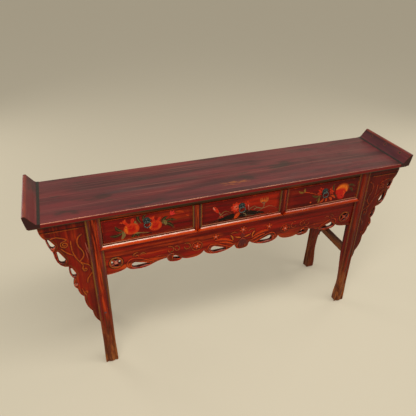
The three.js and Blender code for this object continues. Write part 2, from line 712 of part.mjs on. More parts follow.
function makeDrawer(name, [from, to], x, z) {
  const left = from + drawerGap;
  const right = to - drawerGap;
  const front = -drawerFace;
  const shoulder = front + drawerFrontThickness;
  const sideTop = sideBottom + drawerSideHeight;
  const sideLeft = left + drawerSideInset;
  const sideRight = right - drawerSideInset;
  const sides = [[sideLeft, sideLeft + drawerSideThickness], [sideRight - drawerSideThickness, sideRight]];
  const panel = (grow) => box(
    sides[0][1] - drawerGroove - grow, sides[1][0] + drawerGroove + grow,
    shoulder - drawerGroove - grow, drawerBackY + grow,
    bottomPanel - grow, bottomPanel + drawerBottomThickness + grow);
  const shank = new THREE.CylinderGeometry(stapleWire + fit, stapleWire + fit, 3 * drawerFrontThickness, 12)
    .translate(x, front, z);
  const sockets = sides.flatMap(([x0, x1]) => tails(x0, x1, fit));
  const blank = box(left, right, front, shoulder, frontBottom, frontTop);
  const board = cut(blank, panel(fit), toSolid(shank), ...sockets);
  addPiece(`drawer_${name}_front`, board, drawerLacquer);
  sides.forEach(([x0, x1], i) => {
    const plain = box(x0, x1, shoulder + fit, drawerBackY, sideBottom, sideTop);
    addPiece(`drawer_${name}_side_${'lr'[i]}`, cut(join(plain, ...tails(x0, x1, 0)), panel(fit)), bareWood);
  });
  addPiece(`drawer_${name}_back`, box(
    sides[0][1] + fit, sides[1][0] - fit, drawerBackY - drawerBackThickness, drawerBackY,
    bottomPanel + drawerBottomThickness + fit, sideTop - drawerBackDrop), bareWood);
  addPiece(`drawer_${name}_bottom`, panel(0), bareWood);
}

// Pulls: a domed plate, an eye staple clenched inside the front, and a ring that swings in the eye
const eyeY = -drawerFace - plateThickness - plateDome - eyeRadius - stapleWire;
const ringHang = eyeRadius - stapleWire - ringWire - fit; // the ring hangs low in the eye

function makePull(name, x, z) {
  const face = -drawerFace;
  const profile = [
    [stapleWire + fit, 0], [plateRadius, 0], [plateRadius, plateThickness * 0.6],
    [plateRadius - plateEdge, plateThickness], [plateRadius * 0.55, plateThickness],
    [plateRadius * 0.45, plateThickness + plateDome],
    [stapleWire + fit, plateThickness + plateDome], [stapleWire + fit, 0],
  ].map(([r, h]) => new THREE.Vector2(r, h));
  const plate = new THREE.LatheGeometry(profile, 24).rotateX(Math.PI).translate(x, face, z);
  addPiece(`pull_${name}_plate`, toSolid(plate), iron);

  const wire = (length) => new THREE.CylinderGeometry(stapleWire, stapleWire, length, 8);
  const inside = face + drawerFrontThickness + stapleWire + fit;
  const shankLength = inside - (eyeY + eyeRadius);
  const eye = new THREE.TorusGeometry(eyeRadius, stapleWire, 8, 16)
    .rotateY(Math.PI / 2).translate(x, eyeY, z);
  const shank = wire(shankLength).translate(x, inside - shankLength / 2, z);
  const clench = wire(clenchLength).rotateX(Math.PI / 2).translate(x, inside, z);
  addPiece(`pull_${name}_staple`, join(toSolid(eye), toSolid(shank), toSolid(clench)), iron);

  const ring = new THREE.TorusGeometry(ringRadius, ringWire, 8, 28).rotateX(Math.PI / 2)
    .translate(x, eyeY, z - ringHang - ringRadius);
  addPiece(`pull_${name}_ring`, toSolid(ring), iron);
}

pulls.forEach(({ name, aside, rise }, i) => {
  const [from, to] = openings[i];
  const x = (from + to) / 2 + aside;
  const z = railTop + rise;
  makeDrawer(name, [from, to], x, z);
  makePull(name, x, z);
});

export default table;
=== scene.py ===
import math

import bmesh
import bpy
import numpy as np
from mathutils import Matrix, Vector
from mathutils.geometry import delaunay_2d_cdt
from mathutils.kdtree import KDTree


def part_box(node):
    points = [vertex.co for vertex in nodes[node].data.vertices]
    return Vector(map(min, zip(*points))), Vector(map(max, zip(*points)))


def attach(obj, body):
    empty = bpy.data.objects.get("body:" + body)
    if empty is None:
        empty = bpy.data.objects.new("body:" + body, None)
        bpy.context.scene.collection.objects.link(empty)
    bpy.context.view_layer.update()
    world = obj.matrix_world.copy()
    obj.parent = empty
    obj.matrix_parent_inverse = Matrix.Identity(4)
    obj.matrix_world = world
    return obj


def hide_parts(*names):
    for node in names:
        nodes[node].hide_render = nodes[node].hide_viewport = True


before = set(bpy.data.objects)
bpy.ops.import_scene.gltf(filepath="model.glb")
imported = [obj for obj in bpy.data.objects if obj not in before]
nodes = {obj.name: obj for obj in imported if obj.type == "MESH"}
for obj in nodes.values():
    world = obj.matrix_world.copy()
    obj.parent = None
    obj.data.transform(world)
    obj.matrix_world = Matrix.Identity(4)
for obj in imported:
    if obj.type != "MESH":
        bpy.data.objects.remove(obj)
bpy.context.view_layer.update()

MM = 0.001

# Camera at the photograph's viewpoint: yaw is from +Y towards +X, pitch is up from level
CAMERA_PLACE = Vector((-0.6596, -1.5276, 1.7052))
CAMERA_YAW = math.radians(20.12)
CAMERA_PITCH = math.radians(-32.71)
CAMERA_ROLL = math.radians(1.23)
CAMERA_LENS = 36.34
SENSOR_WIDTH = 36

# Lamps: name, place, target, length along X and width in metres, watts
LAMPS = (
    ("skylight", (0.5, -1.1, 3.2), (0.3, 0, 0.5), (4.0, 0.8), 90),
    ("fill", (-1.8, -2.6, 1.9), (0, 0, 0.5), (1.6, 1.6), 24),
    ("back", (-2.4, 2.6, 1.7), (0, 0, 0.5), (1.6, 1.6), 30),
    ("side", (3.3, 0.9, 1.5), (0.4, 0, 0.5), (1.4, 1.4), 20),
)
WORLD_LIGHT = 0.3
FLOOR_GLOW = 0.36  # share of the floor's colour that glows for the camera

# Places of details that the finishes draw
ANKLE = 0.15  # the legs run straight above this height
LEG_PEG = (-0.626, -0.166, 0.322)  # end of a peg in the front left leg
FLANGE_PEGS = (-0.105, 0.0, 0.105)  # ends of pegs across the right flange
FLANGE_PEG_X = 0.835
FLANGE_PEG_Z = 0.856
SEAM_SHIFT = 0.005  # from the plank's end to the middle of the dark seam
ARRIS_HEIGHT = 0.004  # rounded upper edge of the top
BAND_HEIGHT = 0.012  # red band under it
RAIL_FACE = 0.151  # how far the nosed rail's face stands in front of the table's middle

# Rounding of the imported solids' edges
IRON_SOFTENING = 0.0003
WOOD_SOFTENING = 0.0008

# Carving and painting, in millimetres
APRON_SPACING = 1.6  # between the points of the net on each kind of board
SPANDREL_SPACING = 1.5
PAINT_SPACING = 1.4
ROW_STEP = 0.87  # from row to row of the net, as a share of the spacing
CARVED_ROUNDING = 1.4  # of the rim of the carved boards
PAINT_ROUNDING = 0.15
LEAF_BEND = 0.15  # how far a painted leaf bows, as a share of its length
PAINT_MARGIN = 2  # left bare round the edge of a drawer front
PAINT_STAND = 0.2  # the painted layer stands this far in front of the drawer
PAINT_SINK = 0.1  # and reaches this far into it
APRON_LEAN = 14  # the middle of the apron's carving stands this far to the right
APRON_LEAN_END = 510  # the lean has faded out this far from the middle
INNER_CARVING = 200  # nearer the middle than this the gilding has lasted
LIP = 2.8  # middles of the lip, the cut and the gold line, from a carved edge
CUT = 6.4
GOLD_LINE = 8.2
PETAL_TURN = math.degrees(0.3)  # direction of the first petal of a carved flower

# Colours as seen in plain light, red green blue from 0 to 255
BURGUNDY = (91, 37, 39)
BURGUNDY_DARK = (52, 25, 28)
END_GRAIN = (46, 15, 13)
CARMINE = (112, 34, 34)
FLANGE = (74, 29, 34)
FLANGE_DARK = (44, 19, 24)
FLANGE_CREST = (142, 58, 36)
SEAM = (30, 30, 26)
RED = (142, 20, 4)
RED_DEEP = (66, 8, 3)
RED_SHADE = (94, 12, 4)
FIERY = (160, 30, 4)
SCARLET = (150, 14, 8)
SPANDREL_RED = (122, 20, 6)
CRIMSON = (108, 6, 4)
ORANGE = (190, 62, 12)
GOLD = (170, 98, 22)
WORN_ROSE = (158, 96, 80)
ORANGE_WEAR_AND_HIGHLIGHT = (186, 118, 84)
WORN_BROWN = (146, 82, 36)
PALE_WEAR_AND_HIGHLIGHT = (232, 212, 188)
OLIVE_GOLD = (118, 84, 28)
OLIVE = (62, 48, 20)
PLUM_GREY = (74, 52, 52)
PLUM = (84, 34, 28)
PEG_BLUE = (62, 66, 72)
BROWN = (84, 46, 22)
BARE = (146, 112, 74)
# Soot, also used as painted shade in hollows, in the rail's quirk and under the top
SOOT_AND_SHADE = (26, 16, 12)
PINK = (206, 128, 104)
FRUIT = (206, 66, 18)
FRUIT_RED = (176, 26, 12)
DARK_FRUIT = (160, 10, 6)
BUD = (200, 46, 40)
PEACH = (214, 104, 22)
LEAF = (30, 30, 10)
LEAF_PALE = (118, 98, 52)
ROCK = (16, 11, 5)
STEM = (128, 106, 70)
IRON_DARK = (42, 52, 50)
IRON_WORN = (152, 158, 150)
PALE_FLOOR = (208, 196, 170)


# Colour numbers for a shader
def linear(color):
    def channel(value):
        share = value / 255
        return share / 12.92 if share <= 0.04045 else ((share + 0.055) / 1.055) ** 2.4
    return (*[channel(value) for value in color], 1.0)


class Shading:
    """The nodes of a material or of the world, with short calls for them."""

    def __init__(self, tree):
        self.tree = tree

    def feed(self, socket, value):
        if isinstance(value, bpy.types.NodeSocket):
            self.tree.links.new(value, socket)
        else:
            socket.default_value = value

    def node(self, kind, inputs=None, **settings):
        """A new node. Each of its inputs takes a value or the output of another node."""
        made = self.tree.nodes.new(kind)
        for key, value in settings.items():
            setattr(made, key, value)
        for key, value in (inputs or {}).items():
            self.feed(made.inputs[key], value)
        return made

    def math(self, operation, first, second):
        return self.node("ShaderNodeMath", {0: first, 1: second}, operation=operation).outputs[0]

    def times(self, first, *others):
        for other in others:
            first = self.math("MULTIPLY", first, other)
        return first

    def seen_rays(self):
        """1 for rays of the camera, of mirrors and through glass."""
        ray = self.node("ShaderNodeLightPath").outputs
        seen = self.math("MAXIMUM", ray["Is Camera Ray"], ray["Is Glossy Ray"])
        return self.math("MAXIMUM", seen, ray["Is Transmission Ray"])

    def show(self, output, share, first, second):
        """Ends in a mix of two shaders."""
        mix = self.node("ShaderNodeMixShader", {0: share, 1: first, 2: second})
        self.feed(self.tree.nodes[output].inputs["Surface"], mix.outputs[0])


class Finish(Shading):
    """One material, whose colour is laid in layers."""

    def __init__(self, name, color):
        self.color = linear(color)
        self.material = bpy.data.materials.new(name)
        self.material.use_nodes = True
        super().__init__(self.material.node_tree)
        self.shader = self.tree.nodes["Principled BSDF"]
        self.place = self.node("ShaderNodeTexCoord").outputs["Object"]
        self.x, self.y, self.z = self.node("ShaderNodeSeparateXYZ", {0: self.place}).outputs
        self.beside = self.apart(self.x, 0)
        self.forward = self.times(self.y, -1.0)

    def noise(self, scale, detail=4, roughness=0.55, distortion=0.0):
        stretched = self.node("ShaderNodeMapping", {"Vector": self.place, "Scale": scale}).outputs["Vector"]
        return self.node("ShaderNodeTexNoise", {
            "Vector": stretched, "Scale": 1.0, "Detail": detail, "Roughness": roughness,
            "Distortion": distortion}).outputs["Fac"]

    def spots(self, scale, **look):
        return self.noise((scale, scale, scale), **look)

    def streaks(self, axis, along, across, **look):
        """Noise that is long along one axis and fine across it."""
        return self.noise([along if name == axis else across for name in "XYZ"], **look)

    def between(self, value, low, high, start=0.0, end=1.0):
        """value from low to high becomes start to end, with soft ends."""
        inputs = {"Value": value, "From Min": low, "From Max": high, "To Min": start, "To Max": end}
        return self.node("ShaderNodeMapRange", inputs, interpolation_type="SMOOTHSTEP").outputs["Result"]

    def inside(self, value, start, full, last, end):
        """1 where value is from full to last, fading to 0 at start and end."""
        return self.times(self.between(value, start, full), self.between(value, end, last))

    def apart(self, value, middle):
        """How far value is from middle, either way."""
        return self.math("ABSOLUTE", self.math("SUBTRACT", value, middle), 0)

    def lay(self, color, *shares):
        """Lays a colour over what is there, as far as the product of the shares."""
        if not isinstance(color, bpy.types.NodeSocket):
            color = linear(color)
        inputs = {"Factor": self.times(*shares), "A": self.color, "B": color}
        self.color = self.node("ShaderNodeMix", inputs, data_type="RGBA").outputs["Result"]

    def edges(self, radius, low=0.02, high=0.18):
        """1 where the surface turns sharply, such as along an arris."""
        rounded = self.node("ShaderNodeBevel", {"Radius": radius}, samples=6).outputs["Normal"]
        normal = self.node("ShaderNodeNewGeometry").outputs["Normal"]
        facing = self.node("ShaderNodeVectorMath", {0: rounded, 1: normal}, operation="DOT_PRODUCT")
        return self.between(self.math("SUBTRACT", 1.0, facing.outputs["Value"]), low, high)

    def away_from(self, spot):
        made = self.node("ShaderNodeVectorMath", {0: self.place, 1: spot}, operation="DISTANCE")
        return made.outputs["Value"]

    def layer(self, name, output="Fac"):
        """What a layer of the mesh says."""
        return self.node("ShaderNodeAttribute", attribute_name=name).outputs[output]

    def bump(self, height, strength, distance):
        made = self.node("ShaderNodeBump", {"Height": height, "Strength": strength, "Distance": distance})
        self.feed(self.shader.inputs["Normal"], made.outputs["Normal"])

    def finish(self, roughness, metallic=0.0, coat=0.0, coat_roughness=0.2, specular=0.5):
        inputs = {
            "Base Color": self.color,
            "Roughness": roughness,
            "Metallic": metallic,
            "Specular IOR Level": specular,
            "Coat Weight": coat,
            "Coat Roughness": coat_roughness,
        }
        for name, value in inputs.items():
            self.feed(self.shader.inputs[name], value)
        return self.material


def painted_layer(f, worn):
    """Dirt and painted shade in the hollows of the carving, paint that has flaked, and wear on the crests."""
    flakes = f.between(f.spots(150, detail=3), 0.3, 0.42)
    # Dirt and painted shade, darkest in the deepest hollows
    f.lay(SOOT_AND_SHADE, f.layer("hollow"), 1.6)
    f.lay(f.layer("paint", "Color"), f.layer("paint", "Alpha"), flakes)
    f.lay(worn, f.layer("crest"), f.between(f.spots(60), 0.42, 0.62), 1.2)


def lacquer(name, axis, main, dark, wear=0.5, roughness=0.3, coat=0.05, fire=1.0, worn=ORANGE, bands=None,
            painted=False):
    """Old lacquer over wood whose grain runs along axis, rubbed through on edges and high places.
    It is brighter towards the table's left end and darker towards its right, partly faded and partly painted
    light and shade. fire is how much orange glows in it."""
    f = Finish(name, main)
    grain = f.streaks(axis, 3, 120, detail=6)
    cloud = f.spots(4, detail=5)
    streak = f.streaks(axis, 1.6, 26, detail=5, roughness=0.6, distortion=0.3)
    fiery = f.streaks(axis, 2.6, 44, detail=5, roughness=0.62)
    left = f.between(f.x, 0.8, -0.7, 0.25 * fire, fire)
    f.lay(dark, f.between(streak, 0.42, 0.62))
    flames = f.times(f.between(cloud, 0.4, 0.62), f.between(fiery, 0.45, 0.66))
    # Painted light and shade together with fading: more orange towards the left end, darker red towards the
    # right end
    f.lay(ORANGE, flames, left)
    f.lay(RED_DEEP, f.between(f.x, 0.25, 0.75, 0.0, 0.5))
    f.lay(SOOT_AND_SHADE, f.between(grain, 0.3, 0.62, 0.4, 0.0))
    if bands:
        bands(f)
    if painted:
        painted_layer(f, worn)
    rubbed = f.times(f.edges(0.0025), f.between(f.spots(38), 0.62 - wear * 0.4, 0.7))
    f.lay(worn, rubbed)
    uneven_shine = f.between(f.spots(14), 0.3, 0.75, roughness - 0.06, roughness + 0.16)
    f.bump(f.math("ADD", grain, f.spots(90, detail=2)), 0.35, 0.0006)
    return f.finish(uneven_shine, coat=coat, coat_roughness=0.1, specular=0.08)


def worn_foot(f):
    """Scuffed brown towards the floor, most on the front legs."""
    scuffed = f.between(f.streaks("Z", 12, 70, detail=6, roughness=0.65), 0.42, 0.6)
    low = f.times(f.between(f.z, 0.34, 0.05), f.between(f.y, 0.05, -0.05, 0.45, 1.0))
    f.lay(BROWN, low, 0.7)
    f.lay(WORN_BROWN, low, scuffed)


# Painted bands of a moulded face: olive edge beads, plum flutes and a bright middle
def moulding_bands(middle, half, front):
    """middle, half and front are (value at the floor, change per metre of height) of a moulded face."""
    def bands(f):
        def line(numbers):
            start, slope = numbers
            return f.math("ADD", f.times(f.z, slope), start)

        across = f.apart(f.beside, line(middle))
        share = f.math("DIVIDE", across, line(half))
        depth = f.math("SUBTRACT", line(front), f.apart(f.y, 0))
        on_face = f.between(depth, 0.009, 0.007)
        rubbed = f.between(f.streaks("Z", 6, 60, detail=4), 0.3, 0.55)
        glow = f.between(f.streaks("Z", 9, 130, detail=5, roughness=0.6), 0.42, 0.62)
        dirt = f.between(f.streaks("Z", 5, 95, detail=6, roughness=0.65), 0.48, 0.62, 0.0, 0.6)
        # Painted light and shade as well as wear: the bands are brighter towards the left end of the table
        left = f.between(f.x, 0.7, -0.6, 0.3, 1.0)
        upper = f.between(f.z, 0.12, 0.5, 0.15, 1.0)
        kept = f.times(upper, f.between(f.x, 0.7, -0.6, 0.4, 0.9))
        core = f.times(f.between(share, 0.34, 0.18), on_face)
        flute = f.times(f.between(share, 0.46, 0.54), on_face)
        bead = f.times(f.between(share, 0.74, 0.78), on_face)
        f.lay(ORANGE, core, glow, left, upper)
        f.lay(OLIVE, dirt, on_face)
        f.lay(PLUM_GREY, flute, kept, 0.65)
        f.lay(OLIVE_GOLD, bead, rubbed, kept)
        worn_foot(f)
        f.lay(PEG_BLUE, f.between(f.away_from(LEG_PEG), 0.0065, 0.004, 0.0, 0.8))
    return bands


def face_line(node, low, high):
    """The middle, half width and front of a moulded face, each as (value at the floor, change per metre)."""
    def ring(level):
        spots = [v.co for v in node.data.vertices if abs(v.co.z - level) < 0.5 * MM]
        xs = [abs(spot.x) for spot in spots]
        return (min(xs) + max(xs)) / 2, (max(xs) - min(xs)) / 2, max(abs(spot.y) for spot in spots)

    pairs = zip(ring(low), ring(high))
    slopes = [((top - bottom) / (high - low), bottom) for bottom, top in pairs]
    return [(bottom - slope * low, slope) for slope, bottom in slopes]


table_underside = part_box("top_board")[0].z
leg_bands = moulding_bands(*face_line(nodes["leg_front_left"], ANKLE, table_underside))
divider_low, divider_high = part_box("divider_right")
divider_bands = moulding_bands(
    ((divider_low.x + divider_high.x) / 2, 0), ((divider_high.x - divider_low.x) / 2, 0), (-divider_low.y, 0))


def drawer_patches(f):
    """Calm crimson on the left drawer front, and a brighter patch on the right half of the middle one."""
    calm = f.between(f.x, -0.31, -0.4)
    bright = f.between(f.streaks("X", 6, 26, detail=5), 0.45, 0.62, 0.0, 0.6)
    f.lay(CRIMSON, calm, 0.55)
    f.lay(SCARLET, calm, bright)
    flicker = f.between(f.streaks("X", 5, 50, detail=5), 0.35, 0.6, 0.2, 0.9)
    patch = f.between(f.apart(f.x, 0.1), 0.17, 0.06)
    f.lay(FIERY, patch, flicker)


rail_low, rail_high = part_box("front_bead_rail")


def rail_bands(f):
    """The nosed rail: a pale bead, a quirk darkened with painted shade, and an orange nose with a pale line
    of wear and painted highlight on its crest.
    """
    out = f.math("SUBTRACT", f.forward, RAIL_FACE)
    up = f.math("SUBTRACT", f.z, rail_high.z)
    patchy = f.between(f.streaks("X", 5, 70, detail=4), 0.3, 0.5)
    f.lay(ORANGE_WEAR_AND_HIGHLIGHT, f.between(up, -0.004, -0.003), f.between(out, -0.002, 0), patchy, 0.7)
    lit = f.between(f.z, rail_low.z + 0.003, rail_low.z + 0.009)
    left = f.between(f.x, 0.3, -0.1, 0.45, 0.85)
    f.lay(ORANGE, f.between(out, 0.0035, 0.0055), lit, left)
    # Painted shade in the quirk between the bead and the nose
    f.lay(SOOT_AND_SHADE, f.between(up, -0.0078, -0.0062), f.inside(out, 0.0015, 0.0035, 0.0045, 0.0065), 0.8)
    # Pale wear and a painted highlight along the crest of the nose, stronger towards the left
    crest = f.times(f.inside(out, 0.0058, 0.007, 0.0095, 0.0115), f.between(up, -0.0074, -0.006))
    broken = f.between(f.streaks("X", 14, 160, detail=6, roughness=0.7), 0.4, 0.58, 0.3, 1.0)
    f.lay(PALE_WEAR_AND_HIGHLIGHT, crest, broken, f.between(f.x, 0.05, -0.1, 0.25, 0.95))


red_x = lacquer("red_lacquer_x", "X", RED, RED_DEEP)
rail_x = lacquer("rail_lacquer", "X", RED, RED_DEEP, roughness=0.24, coat=0.08, bands=rail_bands)
leg_z = lacquer("leg_lacquer", "Z", RED, RED_DEEP, wear=0.8, bands=leg_bands)
divider_z = lacquer("divider_lacquer", "Z", CRIMSON, RED_DEEP, fire=0.5, bands=divider_bands)
carved_x = lacquer("carved_lacquer_x", "X", RED, RED_SHADE, fire=1.3, painted=True)
carved_z = lacquer("carved_lacquer_z", "Z", SPANDREL_RED, RED_SHADE, fire=0.8, painted=True)
painted_x = lacquer("painted_lacquer", "X", CRIMSON, RED_DEEP, wear=0.2, fire=0.5, bands=drawer_patches,
                    painted=True)
deep_x = lacquer("deep_lacquer_x", "X", RED_DEEP, SOOT_AND_SHADE, worn=RED)
deep_y = lacquer("deep_lacquer_y", "Y", RED_DEEP, SOOT_AND_SHADE, worn=RED)
deep_z = lacquer("deep_lacquer_z", "Z", RED_DEEP, SOOT_AND_SHADE, worn=RED)
stretcher_y = lacquer("stretcher_lacquer", "Y", WORN_BROWN, BROWN, worn=OLIVE_GOLD)
ledge_x = lacquer("ledge_lacquer", "X", BROWN, OLIVE, worn=OLIVE_GOLD)

# The plank and its flanges
plank_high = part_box("top_board")[1]
plank_reach = plank_high.y
flange_low, flange_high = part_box("flange_right")
joint_x = flange_low.x + SEAM_SHIFT
arris_foot = plank_high.z - ARRIS_HEIGHT
band_foot = arris_foot - BAND_HEIGHT


def dirty_seams(f, grain):
    """Dirt in the seams between the plank and its flanges."""
    from_seam = f.apart(f.beside, joint_x)
    seam = f.between(from_seam, 0.0068, 0.0045)
    f.lay(SEAM, seam, f.between(grain, 0.1, 0.4, 0.7, 0.95))


def front_edge(f):
    """A red band under the arris, and an olive cove under the band."""
    f.lay(CRIMSON, f.between(f.z, arris_foot + MM, arris_foot - MM))
    f.lay(OLIVE, f.between(f.z, band_foot + MM, band_foot - MM))


def rubbed_arrises(f):
    return f.times(f.edges(0.004), f.between(f.spots(26), 0.25, 0.5))


def clear_of_seams(f):
    """1 on the upper side, away from the seams and above the arris."""
    inside = f.between(f.beside, plank_high.x - 0.02, plank_high.x - 0.026)
    raised = f.between(f.z, plank_high.z + 0.012, plank_high.z + 0.02)
    above = f.between(f.z, arris_foot - 0.002, arris_foot + 0.001)
    return f.times(f.math("MAXIMUM", inside, raised), above)


def plank_details(f):
    """Rubbed marks in the middle, and a thin line along the front arris that is partly wear and partly a
    painted highlight.
    """
    marks = f.between(f.streaks("X", 26, 90, detail=4), 0.5, 0.6)
    spot = f.times(f.inside(f.x, -0.09, -0.04, 0.02, 0.07), f.inside(f.forward, 0.07, 0.085, 0.1, 0.12))
    f.lay(WORN_BROWN, spot, marks, 0.6)
    # Partly wear, partly painted highlight along the front arris
    arris = f.times(f.between(f.forward, plank_reach - 0.003, plank_reach - 0.0018),
                    f.between(f.z, plank_high.z - 0.003, plank_high.z - 0.0018))
    thin = f.between(f.streaks("X", 12, 30, detail=4), 0.3, 0.6, 0.2, 0.85)
    kept = f.between(f.x, 0.7, -0.1, 0.4, 1.0)
    f.lay(ORANGE_WEAR_AND_HIGHLIGHT, arris, thin, kept)


def flange_details(f):
    """A rubbed crest, the ends of pegs, and dark end grain."""
    crest = f.between(f.z, flange_high.z - 0.007, flange_high.z - 0.002)
    rubbed_crest = f.between(f.streaks("Y", 8, 60, detail=4), 0.35, 0.65, 0.05, 0.6)
    f.lay(FLANGE_CREST, crest, rubbed_crest)
    for across in FLANGE_PEGS:
        away = f.away_from((FLANGE_PEG_X, across, FLANGE_PEG_Z))
        f.lay(FLANGE_CREST, f.between(away, 0.009, 0.007, 0.0, 0.7))
        f.lay(SEAM, f.between(away, 0.007, 0.0055))
    end = f.between(f.apart(f.y, 0), plank_reach - 0.003, plank_reach - 0.001)
    f.lay(END_GRAIN, end, f.math("SUBTRACT", 1.0, rubbed_arrises(f)))


def top_finish(name, axis, main, dark, worn, details):
    """Burgundy lacquer with long paler and darker streaks, stains and a worn edge."""
    f = Finish(name, main)
    grain = f.streaks(axis, 2, 150, detail=6)
    band = f.streaks(axis, 1.6, 22, detail=7, roughness=0.66, distortion=0.4)
    patch = f.streaks(axis, 2.4, 9, detail=5, distortion=0.6)
    blush = f.streaks(axis, 1.3, 5, detail=5)
    stain = f.streaks(axis, 5, 15, detail=6, roughness=0.6)
    f.lay(dark, f.between(band, 0.38, 0.66, 0.0, 0.85))
    f.lay(PLUM_GREY, f.between(patch, 0.54, 0.74, 0.0, 0.55))
    f.lay(CARMINE, f.between(blush, 0.46, 0.64, 0.0, 0.65))
    f.lay(SEAM, f.between(stain, 0.57, 0.68, 0.0, 0.6))
    f.lay(WORN_ROSE, f.between(grain, 0.52, 0.75, 0.0, 0.3))
    dirty_seams(f, grain)
    front_edge(f)
    f.lay(worn, rubbed_arrises(f), clear_of_seams(f))
    details(f)
    f.bump(f.math("ADD", grain, band), 0.3, 0.0006)
    return f.finish(f.between(f.spots(9), 0.3, 0.75, 0.3, 0.5), coat=0.12, specular=0.16)


top_x = top_finish("top_lacquer_x", "X", BURGUNDY, BURGUNDY_DARK, ORANGE_WEAR_AND_HIGHLIGHT, plank_details)
flange_y = top_finish("flange_lacquer", "Y", FLANGE, FLANGE_DARK, FLANGE_CREST, flange_details)


def bare_finish(name, axis):
    """Wood without lacquer, for what is inside."""
    f = Finish(name, BARE)
    grain = f.streaks(axis, 3, 160, detail=6)
    band = f.streaks(axis, 1.2, 22, detail=5)
    f.lay(BROWN, f.between(band, 0.35, 0.7))
    f.lay(BROWN, f.between(grain, 0.35, 0.6, 0.4, 0.0))
    f.bump(grain, 0.4, 0.0005)
    return f.finish(0.75)


bare_x = bare_finish("bare_wood_x", "X")
bare_y = bare_finish("bare_wood_y", "Y")


def iron_finish(name, rim, patina):
    """Dark pitted iron. rim is its colour on the edges, patina how much soot lies on it."""
    f = Finish(name, IRON_DARK)
    spots = f.spots(260, detail=5)
    f.lay(SOOT_AND_SHADE, f.between(spots, 0.5 - patina, 0.85 - patina))
    f.lay(rim, f.edges(0.0012, 0.01, 0.1))
    f.bump(spots, 0.5, 0.0004)
    return f.finish(f.between(spots, 0.3, 0.7, 0.32, 0.6), metallic=0.5)


plate_iron = iron_finish("plate_iron", IRON_DARK, 0.0)
ring_iron = iron_finish("ring_iron", IRON_WORN, -0.05)

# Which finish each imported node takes, by the start of its name
finishes = {
    "top_board": top_x,
    "flange": flange_y,
    "top_batten": bare_y,
    "leg": leg_z,
    "side_stretcher": stretcher_y,
    "side": deep_y,
    "front_bead_rail": rail_x,
    "front_top_rail": ledge_x,
    "divider": divider_z,
    "back": deep_x,
    "runner": bare_y,
    "apron_front": red_x,
    "apron_back": deep_x,
    "spandrel": deep_z,
}


def finish_of(name):
    if name.startswith("pull"):
        return plate_iron if name.endswith("plate") else ring_iron
    if name.startswith("drawer"):
        if name.endswith("front"):
            return red_x
        return bare_y if "side" in name else bare_x
    return next(finishes[start] for start in finishes if name.startswith(start))


def soften(node, width):
    """A small rounding of the node's edges."""
    bevel = node.modifiers.new("soft_edges", "BEVEL")
    bevel.width = width
    bevel.segments = 2
    bevel.limit_method = "ANGLE"
    bevel.angle_limit = math.radians(40)
    bevel.harden_normals = True


for name, node in nodes.items():
    node.data.materials.clear()
    node.data.materials.append(finish_of(name))
    soften(node, IRON_SOFTENING if name.startswith("pull") else WOOD_SOFTENING)


